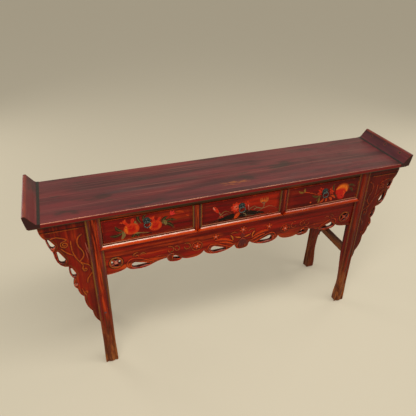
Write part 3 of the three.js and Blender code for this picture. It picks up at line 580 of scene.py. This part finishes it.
# Boards whose face is a fine net that carving raises and paint colours
class Board:
    """Face of a board. Points, heights and distances are in millimetres; heights stand out towards -Y."""

    def __init__(self, loops, front, back, spacing, rounding):
        self.loops = loops
        self.front = front
        self.back = back
        self.rounding = rounding
        self.rim, self.rim_links = dense_rim(loops, spacing)
        self.points = np.vstack([self.rim, inner_points(loops, self.rim, spacing)])
        self.faces = triangles(self.points, self.rim_links, len(self.rim), loops)
        self.to_rim = distances(self.points, self.rim)
        self.height = np.zeros(len(self.points))
        self.paint = np.zeros((len(self.points), 4))

    def nearness(self, path, widths):
        """0 on a path to 1 at its half width, and more outside it."""
        near = np.full(len(self.points), 9.0)
        path = np.array(path, dtype=float)
        reach = 1.3 * max(widths)
        low = path.min(axis=0) - reach
        high = path.max(axis=0) + reach
        close = np.flatnonzero(np.all((self.points > low) & (self.points < high), axis=1))
        spots = self.points[close]
        for start, end, first, last in zip(path, path[1:], widths, widths[1:]):
            run = end - start
            along = np.clip((spots - start) @ run / max(run @ run, 1e-9), 0, 1)
            away = np.linalg.norm(spots - start - along[:, None] * run, axis=1)
            near[close] = np.minimum(near[close], away / (first + (last - first) * along))
        return near

    def lay(self, near, color, rim_color=None, cover=1.0, crisp=0.3):
        """Paints where near is under 1, over what is there."""
        alpha = cover * np.clip((1 - near) / crisp, 0, 1)
        inner = np.array(linear(color)[:3])
        outer = np.array(linear(rim_color or color)[:3])
        share = np.clip(near, 0, 1)[:, None] ** 2
        fresh = inner * (1 - share) + outer * share
        under = self.paint[:, 3] * (1 - alpha)
        total = alpha + under
        mixed = fresh * alpha[:, None] + self.paint[:, :3] * under[:, None]
        self.paint[:, :3] = mixed / np.maximum(total, 1e-6)[:, None]
        self.paint[:, 3] = total

    def stroke(self, path, width, rise=0.0, color=None, rim_color=None, shape="even", cover=1.0, crisp=0.3):
        """A band along a path, of a full width in the middle. rise below 0 cuts a groove."""
        path = smooth_path(path)
        count = len(path)
        share = np.linspace(0, 1, count)
        form = {
            "even": np.ones(count),
            "taper": 1 - 0.8 * share,
            "leaf": np.maximum(np.sin(np.pi * np.clip(share, 0.02, 0.985)), 0.08) ** 0.8,
        }[shape]
        near = self.nearness(path, width / 2 * form)
        dome = np.sqrt(np.clip(1 - near * near, 0, 1))
        if rise > 0:
            self.height = np.maximum(self.height, rise * dome)
        if rise < 0:
            self.height = np.where(near < 1, np.minimum(self.height, rise * dome), self.height)
        if color:
            self.lay(near, color, rim_color, cover, crisp)

    def dot(self, x, z, width, **look):
        self.stroke([(x - 0.01, z), (x + 0.01, z)], width, **look)

    def build(self, name, body, finish):
        """Makes the closed mesh, with the paint, the crests and the hollows as attributes."""
        inward = np.clip(self.to_rim / self.rounding, 0, 1)
        rounded = self.rounding * (1 - np.sqrt(1 - (1 - inward) ** 2))
        height = self.height * inward - rounded
        count = len(self.points)
        rim_count = len(self.rim)
        front = [(x * MM, self.front - h * MM, z * MM) for (x, z), h in zip(self.points, height)]
        back = [(x * MM, self.back, z * MM) for x, z in self.rim]
        behind = triangles(self.rim, self.rim_links, rim_count, self.loops)
        faces = [tuple(face) for face in self.faces]
        faces += [(count + c, count + b, count + a) for a, b, c in behind]
        faces += [(b, a, count + a, count + b) for a, b in self.rim_links]
        mesh = bpy.data.meshes.new(name)
        mesh.from_pydata(front + back, [], faces)
        tidy_normals(mesh)
        level = settled(mesh, np.concatenate([height, np.zeros(rim_count)]), 6)[:count]
        blank = np.zeros(rim_count)
        for title, values in (("crest", height - level), ("hollow", level - height)):
            layer = mesh.attributes.new(title, "FLOAT", "POINT")
            layer.data.foreach_set("value", np.concatenate([np.clip(values, 0, 1), blank]))
        layer = mesh.attributes.new("paint", "FLOAT_COLOR", "POINT")
        layer.data.foreach_set("color", np.vstack([self.paint, np.zeros((rim_count, 4))]).ravel())
        piece = bpy.data.objects.new(name, mesh)
        bpy.context.scene.collection.objects.link(piece)
        mesh.materials.append(finish)
        mesh.shade_smooth()
        mesh.set_sharp_from_angle(angle=math.radians(50))
        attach(piece, body)
        return piece


def front_loops(node):
    """Outline and openings of a packed board's front face, as loops of (x, z) in millimetres."""
    mesh = node.data
    front = min(corner.co.y for corner in mesh.vertices)

    def place(index):
        spot = mesh.vertices[index].co
        return (round(spot.x / MM, 2), round(spot.z / MM, 2))

    sides = set()
    for face in mesh.polygons:
        if all(abs(mesh.vertices[i].co.y - front) < 0.01 * MM for i in face.vertices):
            corners = [place(i) for i in face.vertices]
            sides.update(zip(corners, corners[1:] + corners[:1]))
    after = {a: b for a, b in sides if (b, a) not in sides}
    loops = []
    while after:
        start, spot = after.popitem()
        loop = [start]
        while spot != start:
            loop.append(spot)
            spot = after.pop(spot)
        loops.append(loop)
    return loops


def dense_rim(loops, spacing):
    points = []
    links = []
    for loop in loops:
        first = len(points)
        for start, end in zip(loop, loop[1:] + loop[:1]):
            steps = max(1, round(math.dist(start, end) / spacing))
            points += [np.array(start) + (np.array(end) - start) * i / steps for i in range(steps)]
        last = len(points)
        links += [(i, i + 1) for i in range(first, last - 1)] + [(last - 1, first)]
    return np.array(points), links


def crossings(loops, level):
    """Where a level line crosses the loops, in order."""
    found = []
    for loop in loops:
        for (x0, z0), (x1, z1) in zip(loop, loop[1:] + loop[:1]):
            if (z0 > level) != (z1 > level):
                found.append(x0 + (x1 - x0) * (level - z0) / (z1 - z0))
    return sorted(found)


def distances(spots, rim):
    tree = KDTree(len(rim))
    for i, (x, z) in enumerate(rim):
        tree.insert((x, z, 0), i)
    tree.balance()
    return np.array([tree.find((x, z, 0))[2] for x, z in spots])


def inner_points(loops, rim, spacing):
    """Points in rows inside the outline, clear of its rim."""
    low = rim.min(axis=0)
    high = rim.max(axis=0)
    rows = []
    for row, z in enumerate(np.arange(low[1] + spacing / 2, high[1], spacing * ROW_STEP)):
        xs = np.arange(low[0] + spacing / 2 * (row % 2), high[0], spacing)
        inside = np.searchsorted(crossings(loops, z), xs) % 2 == 1
        rows.append(np.column_stack([xs[inside], np.full(inside.sum(), z)]))
    spots = np.vstack(rows)
    return spots[distances(spots, rim) > 0.6 * spacing]


def triangles(points, links, rim_count, loops):
    """Triangles over the points that lie inside the outline and outside its openings."""
    result = delaunay_2d_cdt([Vector(point) for point in points], links, [], 0, 1e-5)
    came_from = [source[0] for source in result[3]]
    kept = []
    for face in result[2]:
        corners = [came_from[i] for i in face]
        if max(corners) < rim_count:
            x, z = np.mean([points[i] for i in corners], axis=0)
            if np.searchsorted(crossings(loops, z), x) % 2 == 0:
                continue
        kept.append(corners)
    return kept


def tidy_normals(mesh):
    work = bmesh.new()
    work.from_mesh(mesh)
    bmesh.ops.recalc_face_normals(work, faces=work.faces)
    work.to_mesh(mesh)
    work.free()


def settled(mesh, height, rounds):
    """Heights evened out between neighbours, to tell crests from hollows."""
    ends = np.array([edge.vertices[:] for edge in mesh.edges])
    uses = np.bincount(ends.ravel(), minlength=len(height))
    for _ in range(rounds):
        total = np.zeros(len(height))
        np.add.at(total, ends[:, 0], height[ends[:, 1]])
        np.add.at(total, ends[:, 1], height[ends[:, 0]])
        height = (height + total / uses) / 2
    return height


def smooth_path(points):
    """A curve through the points."""
    knots = [points[0], *points, points[-1]]
    path = []
    for before, start, end, after in zip(knots, knots[1:], knots[2:], knots[3:]):
        p = [np.array(k, dtype=float) for k in (before, start, end, after)]
        for t in np.arange(0, 1, 0.2):
            path.append(0.5 * (
                2 * p[1] + (p[2] - p[0]) * t + (2 * p[0] - 5 * p[1] + 4 * p[2] - p[3]) * t ** 2
                + (3 * p[1] - p[0] - 3 * p[2] + p[3]) * t ** 3))
    path.append(np.array(points[-1], dtype=float))
    return path


def around(x, z, radius, degrees):
    """The point at a radius from (x, z), in a direction measured from +X towards +Z."""
    angle = math.radians(degrees)
    return (x + radius * math.cos(angle), z + radius * math.sin(angle))


def spiral(x, z, outer, inner, start, turns):
    """Points that wind in round (x, z) from an angle in degrees. Turns below 0 wind clockwise."""
    count = max(8, round(abs(turns) * 12))
    steps = [i / count for i in range(count + 1)]
    return [around(x, z, outer + (inner - outer) * step, start + 360 * turns * step) for step in steps]


# Carving of the front apron. x is measured from the middle before the lean.
apron_low, apron_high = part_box("apron_front")
apron_top = apron_high.z / MM


def apron_place(sign, path):
    """A path of one half of the apron, put in its place on the left (-1) or right (1)."""
    return [(sign * x + APRON_LEAN * max(0, 1 - (x / APRON_LEAN_END) ** 4), z) for x, z in path]


def shaped_edge(board, top, near, far):
    """Distance of each point from the shaped edges and openings. These lie below the top, and from
    near to far out from the middle of the table."""
    out = np.abs(board.rim[:, 0])
    shaped = board.rim[(board.rim[:, 1] < top - 1) & (out >= near) & (out < far)]
    return distances(board.points, shaped)


def uneven(board):
    """Slow patches of wear over a board, 0 to 1."""
    return 0.5 + 0.5 * np.sin(0.11 * board.points[:, 0] + 2 * np.sin(0.07 * board.points[:, 1]))


def carve_edge(board, away):
    """A rounded lip along the shaped edges, rubbed pale, with a cut and a gold line behind it."""
    board.height += 1.3 * np.exp(-((away - LIP) / 1.8) ** 2)
    board.height -= 1.2 * np.exp(-((away - CUT) / 1.2) ** 2)
    board.lay(away / 2.2, WORN_ROSE, cover=0.75 * uneven(board), crisp=0.5)
    board.lay(np.abs(away - GOLD_LINE) / 1.2, OLIVE_GOLD, cover=0.7, crisp=0.6)


def blossom(board, x, z, radius, petals, color, heart):
    """A small carved flower: petals round a raised heart."""
    for i in range(petals):
        turn = PETAL_TURN + 360 * i / petals
        petal = [around(x, z, 0.2 * radius, turn), around(x, z, radius, turn)]
        board.stroke(petal, radius * 0.66, rise=2.2, color=color, shape="leaf", cover=0.6, crisp=0.6)
    board.dot(x, z, radius * 0.6, rise=2.8, color=heart, cover=0.95)


def ring_line(x, z, radius):
    return spiral(x, z, radius, radius, 0, 1)


def carve_apron_half(board, sign, gilt):
    def band(path, width, cover=1.0, **look):
        kept = gilt if path[0][0] > INNER_CARVING else 0.9
        board.stroke(apron_place(sign, path), width, cover=kept * cover, **look)

    # Medallion in the end
    band(ring_line(553, 573, 26), 6, rise=2.6, color=OLIVE_GOLD, cover=0.9)
    band(ring_line(553, 573, 32), 3, rise=-1.2, color=RED_DEEP, cover=0.8)
    band([(553, 573), (553.1, 573)], 20, rise=2.0, color=PINK, rim_color=PLUM, cover=0.95)
    # Leaves over the outer loop
    leaves = (
        [(486, 588), (478, 601), (462, 606)],
        [(458, 590), (446, 598), (432, 588)],
        [(478, 584), (468, 590), (462, 582)])
    for path in leaves:
        band(path, 6, rise=1.8, color=OLIVE_GOLD, shape="leaf", cover=0.85)
    outer_loop = [(506, 540), (508, 560), (492, 576), (464, 574), (430, 556), (404, 540)]
    band(outer_loop, 6, rise=2.2, color=ORANGE, cover=0.5)
    band(spiral(488, 546, 9, 2, 160, -1.1), 3.6, rise=2.4, color=WORN_ROSE, cover=0.7)
    # Three curls in a row
    for x, size in ((334, 19), (306, 15), (262, 20)):
        band(spiral(x, 584, size, 0.45 * size, 70, 0.8), 4.2, rise=1.8, color=OLIVE_GOLD, cover=0.8)
    # Scroll
    band(spiral(315, 540, 14, 6, 200, -1.2), 6, rise=2.6, color=RED, cover=0.5)
    band([(344, 536), (346, 552), (334, 562), (318, 560)], 4, rise=2.0, color=WORN_ROSE, cover=0.6)
    band([(340, 556), (372, 566), (404, 560)], 5, rise=1.6, color=ORANGE, cover=0.5, shape="taper")
    # Flower in a ring
    band(ring_line(216, 576, 24), 3.4, rise=1.6, color=OLIVE_GOLD, cover=0.7)
    x, z = apron_place(sign, [(216, 576)])[0]
    blossom(board, x, z, 17, 6, ORANGE, PINK)
    # Inner loop
    inner_loop = [(166, 546), (162, 560), (146, 568), (116, 562), (84, 546), (58, 534)]
    band(inner_loop, 6, rise=2.2, color=ORANGE, cover=0.5)
    band([(154, 524), (160, 538), (156, 552)], 4, rise=2.0, color=WORN_ROSE, cover=0.7)
    # Leaf over the loop, gilt at its tip
    band([(132, 586), (104, 586), (74, 578), (46, 562)], 19, rise=2.6, color=ORANGE, rim_color=RED,
         shape="leaf", cover=0.95, crisp=0.75)
    band([(112, 572), (76, 562), (44, 548)], 11, rise=2.0, color=ORANGE, shape="leaf", cover=0.85)
    band([(60, 598), (50, 584), (46, 566)], 9, rise=3.0, color=GOLD, shape="leaf", cover=0.95)
    band([(38, 584), (22, 578), (8, 574)], 9, rise=2.4, color=GOLD, rim_color=ORANGE, shape="leaf",
         cover=0.95)
    band([(62, 606), (40, 610), (24, 600)], 5, rise=1.6, color=OLIVE_GOLD, shape="leaf", cover=0.6)
    x, z = apron_place(sign, [(130, 606)])[0]
    blossom(board, x, z, 15, 5, ORANGE, PINK)


def carve_apron():
    outline = front_loops(nodes["apron_front"])
    board = Board(outline, apron_low.y, apron_high.y, APRON_SPACING, CARVED_ROUNDING)
    carve_edge(board, shaped_edge(board, apron_top, 0, apron_high.x / MM - 3))
    for sign, gilt in ((-1, 0.9), (1, 0.28)):
        carve_apron_half(board, sign, gilt)
    middle = APRON_LEAN
    blossom(board, middle, 617, 17, 6, ORANGE, PINK)
    # Pendant: a plum shell with ribs under a stalk
    board.stroke([(middle, 596), (middle, 576)], 22, rise=1.8, color=PLUM, cover=0.9, shape="leaf")
    for turn in (-44, -22, 0, 22, 44):
        lean = math.radians(turn)
        foot = (middle + 40 * math.sin(lean), 568 - 50 * math.cos(lean))
        board.stroke([(middle, 572), foot], 15, rise=2.8, color=PLUM, rim_color=BURGUNDY_DARK,
                     shape="leaf", cover=0.95)
    piece = board.build("carved_apron", "frame", carved_x)
    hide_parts("apron_front")


carve_apron()


# Carving of the front spandrels: scrolls with a gold line on each, curls at the openings, and worn places
SPANDREL_SCROLLS = [
    [(782, 744), (764, 748), (746, 742), (727, 730)] + spiral(736, 708, 15, 4, 50, -1.5),
    [(712, 720), (713, 690), (710, 660), (702, 634), (690, 612), (676, 600), (660, 590), (652, 570)],
    [(668, 744), (682, 732), (689, 712), (686, 688), (676, 668), (672, 648), (678, 630), (692, 616)],
    [(690, 612), (682, 594), (686, 576)] + spiral(676, 570, 9, 3, 40, -1.1),
    [(652, 570), (650, 552), (660, 536), (672, 520), (676, 500)],
    [(702, 470), (697, 450), (690, 432)] + spiral(688, 446, 9, 3, -60, 0.9),
    [(750, 690), (740, 676), (726, 662), (712, 652)],
]
SPANDREL_CURLS = ((781, 694, 9, -1.2), (752, 630, 10, -1.3), (722, 552, 8, -1.2), (724, 500, 8, 1.1))
SPANDREL_WEAR = ((660, 676, 7), (653, 650, 8), (664, 640, 5), (650, 606, 5))


def carve_spandrel(side, sign, gilt):
    node = f"spandrel_front_{side}"
    low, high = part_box(node)
    inner = min(abs(low.x), abs(high.x)) / MM
    top = high.z / MM
    board = Board(front_loops(nodes[node]), low.y, high.y, SPANDREL_SPACING, CARVED_ROUNDING)

    def band(path, width, **look):
        board.stroke([(sign * x, z) for x, z in path], width, **look)

    carve_edge(board, shaped_edge(board, top, inner + 14, math.inf))
    # Painted shade in a strip under the top, and a dark groove below it
    band([(inner, top - 8), (inner + 172, top - 8)], 17, color=SOOT_AND_SHADE, cover=0.6, crisp=0.8)
    band([(inner, top - 26), (inner + 168, top - 26)], 4, rise=-1.6, color=SOOT_AND_SHADE, cover=0.9)
    band([(inner + 30, top - 32), (inner + 150, top - 32)], 3, rise=0.8, color=GOLD, cover=0.5)
    for path in SPANDREL_SCROLLS:
        band(path, 9, rise=1.8)
        band(path, 3, rise=1.9, color=GOLD, cover=gilt)
    for x, z, size, turn in SPANDREL_CURLS:
        band(spiral(x, z, size, 2.5, 150, turn), 4.4, rise=2.6, color=PINK, cover=0.75 * gilt)
    # Lacquer rubbed pale beside the leg
    for x, z, width in SPANDREL_WEAR:
        band([(x, z + 28), (x - 3, z), (x - 6, z - 30)], width, rise=0.6, color=WORN_ROSE, rim_color=ORANGE,
             shape="leaf", cover=0.8 * gilt, crisp=0.8)
    piece = board.build(f"carved_spandrel_{side}", "frame", carved_z)
    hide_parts(node)


carve_spandrel("left", -1, gilt=0.85)
carve_spandrel("right", 1, gilt=0.18)


# Painting of the drawer fronts: a thin raised layer on each, x from the middle of the table
class DrawerPainting:
    def __init__(self, side):
        self.side = side
        low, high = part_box(f"drawer_{side}_front")
        left, right = low.x / MM + PAINT_MARGIN, high.x / MM - PAINT_MARGIN
        bottom, top = low.z / MM + PAINT_MARGIN, high.z / MM - PAINT_MARGIN
        loop = [(left, bottom), (right, bottom), (right, top), (left, top)]
        front = low.y - PAINT_STAND * MM
        back = low.y + PAINT_SINK * MM
        self.board = Board([loop], front, back, PAINT_SPACING, PAINT_ROUNDING)
        # Darker towards the edges, as handling and smoke left it
        away = distances(self.board.points, self.board.rim)
        self.board.lay(away / 16, RED_DEEP, cover=0.75, crisp=1.0)

    def leaf(self, root, tip, width, color=LEAF, vein=LEAF_PALE):
        run, climb = tip[0] - root[0], tip[1] - root[1]
        middle = ((root[0] + tip[0]) / 2 - LEAF_BEND * climb, (root[1] + tip[1]) / 2 + LEAF_BEND * run)
        self.board.stroke([root, middle, tip], width, rise=0.5, color=color, shape="leaf", crisp=0.25)
        self.board.stroke([root, middle, tip], width * 0.3, rise=0.6, color=vein, shape="taper", cover=0.5)

    def leaves(self, *rows):
        for row in rows:
            self.leaf(*row)

    def line(self, path, width, color=STEM):
        self.board.stroke(path, width, rise=0.35, color=color, cover=0.95, shape="taper")

    def blade(self, path, width, color, rim, cover=1.0, crisp=0.35):
        self.board.stroke(path, width, rise=0.6, color=color, rim_color=rim, shape="leaf", cover=cover,
                          crisp=crisp)

    def petals(self, x, z, radius, count, color, rim, turn=0.0):
        for i in range(count):
            way = turn + 360 * i / count
            petal = [around(x, z, 0.25 * radius, way), around(x, z, radius, way)]
            self.blade(petal, radius * 0.62, color, rim)

    def pomegranate(self, x, z, radius, lean):
        """A broad round fruit with a notched crown. The crown leans by so many degrees."""
        def spot(turn, reach):
            way = math.radians(90 + lean + turn)
            return (x + 1.15 * radius * reach * math.cos(way), z + radius * reach * math.sin(way))

        self.board.stroke([(x - 0.16 * radius, z), (x + 0.16 * radius, z)], 1.9 * radius, rise=0.7,
                          color=DARK_FRUIT, rim_color=FRUIT, crisp=0.2)
        for turn, reach in ((26, 1.75), (-14, 1.6)):
            prong = [spot(turn * 0.8, 0.8), spot(turn, 1.25), spot(turn, reach)]
            self.blade(prong, radius * 0.5, FRUIT_RED, FRUIT)
        for turn in (16, 40):
            self.blade([spot(26, 1.3), spot(turn, 1.8)], radius * 0.3, FRUIT, FRUIT_RED, cover=0.8)
        left_cheek = [spot(44, 0.8), spot(90, 0.62), spot(136, 0.82)]
        right_cheek = [spot(-60, 0.8), spot(-92, 0.6), spot(-126, 0.82)]
        fold = [spot(60, 0.7), spot(0, 0.05), spot(-20, 0.6)]
        self.blade(left_cheek, radius * 0.7, PEACH, FRUIT, cover=0.85, crisp=0.9)
        self.blade(right_cheek, radius * 0.8, ORANGE, FRUIT_RED, crisp=0.9)
        self.blade(fold, radius * 0.24, ORANGE, FRUIT_RED, cover=0.6, crisp=0.9)

    def finish(self):
        piece = self.board.build(f"painting_{self.side}", f"drawer_{self.side}", painted_x)


def paint_left():
    art = DrawerPainting("left")
    # Leaves and ground round the left fruit
    art.leaves(
        ((-514, 726), (-540, 752), 17),
        ((-512, 720), (-564, 710), 17),
        ((-510, 726), (-520, 686), 16, LEAF_PALE, LEAF),
        ((-438, 748), (-446, 796), 15),
        ((-430, 760), (-412, 788), 13),
        ((-452, 744), (-460, 764), 11, LEAF_PALE, LEAF),
        ((-466, 708), (-484, 682), 17),
        ((-468, 708), (-450, 682), 16))
    art.line([(-464, 706), (-440, 702), (-408, 697)], 10, color=LEAF_PALE)
    art.line([(-398, 694), (-420, 693), (-450, 697)], 6, color=ROCK)
    # Leaves and a bud beside the right fruit
    art.leaves(
        ((-352, 734), (-330, 758), 19),
        ((-350, 732), (-292, 734), 15),
        ((-350, 730), (-302, 696), 18),
        ((-346, 744), (-338, 718), 14, LEAF_PALE, LEAF))
    art.line([(-334, 750), (-322, 758), (-312, 766)], 4, color=FRUIT_RED)
    for tip in ((-314, 784), (-300, 782), (-296, 768)):
        art.blade([(-316, 762), tip], 10, BUD, FRUIT_RED)
    art.pomegranate(-477, 729, 30, 6)
    art.pomegranate(-381, 725, 26, -14)
    art.blade([(-292, 774), (-274, 772), (-258, 762)], 14, ORANGE, FRUIT_RED, cover=0.6, crisp=0.9)
    art.blade([(-252, 752), (-244, 746), (-240, 742)], 10, ORANGE, FRUIT_RED, cover=0.6, crisp=0.9)
    art.finish()


def paint_center():
    art = DrawerPainting("center")
    # Twigs with a bud and a small blossom
    art.blade([(-132, 762), (-122, 750), (-106, 728)], 19, FRUIT_RED, FRUIT)
    art.blade([(-133, 762), (-129, 754), (-122, 746)], 8, PINK, PEACH, crisp=0.8)
    art.line([(-104, 730), (-99, 714), (-112, 696)], 4)
    art.petals(-94, 704, 11, 5, color=FRUIT_RED, rim=RED)
    art.line([(-98, 716), (-80, 732), (-62, 726), (-46, 712)], 4.4, color=LEAF_PALE)
    art.line([(-92, 710), (-72, 718), (-58, 712)], 3.6)
    # Rocks
    hills = (
        ([(-132, 683), (-84, 686), (-20, 686), (50, 686), (108, 683)], 15),
        ([(-106, 687), (-74, 695), (-44, 703)], 25),
        ([(-18, 692), (8, 702), (42, 702), (74, 694), (96, 687)], 24),
        ([(6, 706), (18, 711), (42, 705)], 22))
    for path, width in hills:
        art.board.stroke(path, width, rise=0.6, color=ROCK, crisp=0.15)
    art.line([(10, 694), (40, 690), (84, 684)], 1.8)
    # Large blossom and a smaller one
    art.petals(-27, 742, 24, 9, color=FRUIT_RED, rim=FRUIT, turn=10)
    art.petals(-27, 742, 14, 6, color=FRUIT, rim=PINK, turn=30)
    art.board.dot(-28, 746, 5, rise=0.8, color=PINK)
    art.blade([(-12, 712), (-22, 700), (-34, 684)], 20, ORANGE, FRUIT)
    art.petals(24, 750, 14, 5, color=FRUIT_RED, rim=FRUIT, turn=80)
    art.line([(30, 742), (32, 728), (34, 712)], 4, color=PINK)
    art.line([(8, 706), (20, 698), (22, 684)], 5)
    # Tufted flower over crossing stems
    for lean in (-15, -8, 2, 11, 17):
        art.blade([(103, 736), (103 + lean, 750), (103 + lean, 769)], 9, WORN_BROWN, FRUIT, cover=0.9)
    art.line([(93, 751), (104, 753), (116, 750)], 5, color=PEACH)
    art.line([(96, 743), (104, 741), (112, 743)], 6, color=PLUM_GREY)
    art.line([(105, 738), (104, 722), (94, 710), (72, 700)], 4.6)
    art.line([(58, 716), (74, 722), (100, 714), (128, 720), (150, 714), (168, 702)], 4.2)
    art.line([(40, 724), (58, 732), (78, 720), (94, 712)], 3.6)
    art.finish()


def paint_right():
    art = DrawerPainting("right")
    # Branch with leaves and blossoms
    art.leaves(
        ((306, 757), (272, 768), 11, OLIVE_GOLD, OLIVE),
        ((308, 756), (304, 776), 11, OLIVE_GOLD, LEAF_PALE))
    art.line([(306, 757), (332, 749), (360, 738), (388, 726)], 5, color=ORANGE)
    art.leaves(
        ((392, 724), (346, 732), 14, OLIVE, OLIVE_GOLD),
        ((390, 722), (372, 700), 13, OLIVE, OLIVE_GOLD),
        ((386, 712), (380, 682), 10, OLIVE_GOLD, LEAF_PALE))
    for x, z, size in ((390, 752, 14), (386, 737, 12), (448, 746, 13), (450, 731, 11)):
        art.petals(x, z, size, 5, color=FRUIT_RED, rim=FRUIT, turn=x)
    # Leaves under the branch
    art.leaves(
        ((412, 706), (392, 686), 12, ORANGE, OLIVE),
        ((424, 704), (424, 684), 12, ORANGE, OLIVE),
        ((438, 706), (456, 686), 12, ORANGE, OLIVE),
        ((446, 714), (474, 696), 12, ORANGE, OLIVE))
    art.board.dot(344, 695, 9, rise=0.5, color=ORANGE)
    # Peach among its leaves
    art.leaves(
        ((460, 738), (458, 774), 12, OLIVE, OLIVE),
        ((464, 712), (508, 682), 13, OLIVE, OLIVE),
        ((524, 752), (574, 744), 12, OLIVE, OLIVE),
        ((540, 740), (566, 716), 12, OLIVE, OLIVE))
    art.board.dot(501, 731, 64, rise=0.7, color=FRUIT_RED, crisp=0.15)
    art.blade([(488, 726), (502, 708), (512, 688)], 44, FRUIT_RED, FRUIT_RED, crisp=0.3)
    art.blade([(472, 740), (496, 754), (524, 748), (532, 722)], 38, PEACH, FRUIT, cover=0.97, crisp=0.9)
    art.blade([(512, 730), (520, 716), (516, 702)], 14, FRUIT, FRUIT_RED, crisp=0.9)
    art.finish()


paint_left()
paint_center()
paint_right()


# Stage: a pale plain floor and a soft backdrop
def add_floor():
    bpy.ops.mesh.primitive_plane_add(size=80, location=(0, 0, 0))
    floor = bpy.context.object
    floor.name = "floor"
    f = Finish("pale_floor", PALE_FLOOR)
    floor.data.materials.append(f.finish(0.85, specular=0.2))
    # The camera and mirrors see it evenly pale: part of its colour glows for their rays alone
    glow = f.node("ShaderNodeEmission", {"Color": linear(PALE_FLOOR)})
    seen = f.times(f.seen_rays(), FLOOR_GLOW)
    f.show("Material Output", seen, f.shader.outputs[0], glow.outputs[0])


add_floor()


def add_lamp(name, place, target, size, watts):
    light = bpy.data.lights.new(name, "AREA")
    light.shape = "RECTANGLE"
    light.size, light.size_y = size
    light.energy = watts
    lamp = bpy.data.objects.new(name, light)
    lamp.location = place
    lamp.rotation_euler = (Vector(target) - Vector(place)).to_track_quat("-Z", "Y").to_euler()
    bpy.context.scene.collection.objects.link(lamp)


for lamp in LAMPS:
    add_lamp(*lamp)


# The world lights the table softly, and the camera sees it as a pale backdrop
def add_world():
    world = bpy.data.worlds.new("studio")
    bpy.context.scene.world = world
    world.use_nodes = True
    shading = Shading(world.node_tree)
    light = world.node_tree.nodes["Background"]
    light.inputs["Color"].default_value = (1, 1, 1, 1)
    light.inputs["Strength"].default_value = WORLD_LIGHT
    backdrop = shading.node("ShaderNodeBackground", {"Color": linear(PALE_FLOOR)})
    shading.show("World Output", shading.seen_rays(), light.outputs[0], backdrop.outputs[0])


add_world()
bpy.context.scene.view_settings.view_transform = "Standard"


def add_camera():
    aim = Matrix.Rotation(-CAMERA_YAW, 4, "Z") @ Matrix.Rotation(math.pi / 2 + CAMERA_PITCH, 4, "X")
    data = bpy.data.cameras.new("camera")
    data.sensor_width = SENSOR_WIDTH
    data.lens = CAMERA_LENS
    camera = bpy.data.objects.new("camera", data)
    camera.matrix_world = Matrix.Translation(CAMERA_PLACE) @ aim @ Matrix.Rotation(CAMERA_ROLL, 4, "Z")
    bpy.context.scene.collection.objects.link(camera)
    bpy.context.scene.camera = camera


add_camera()
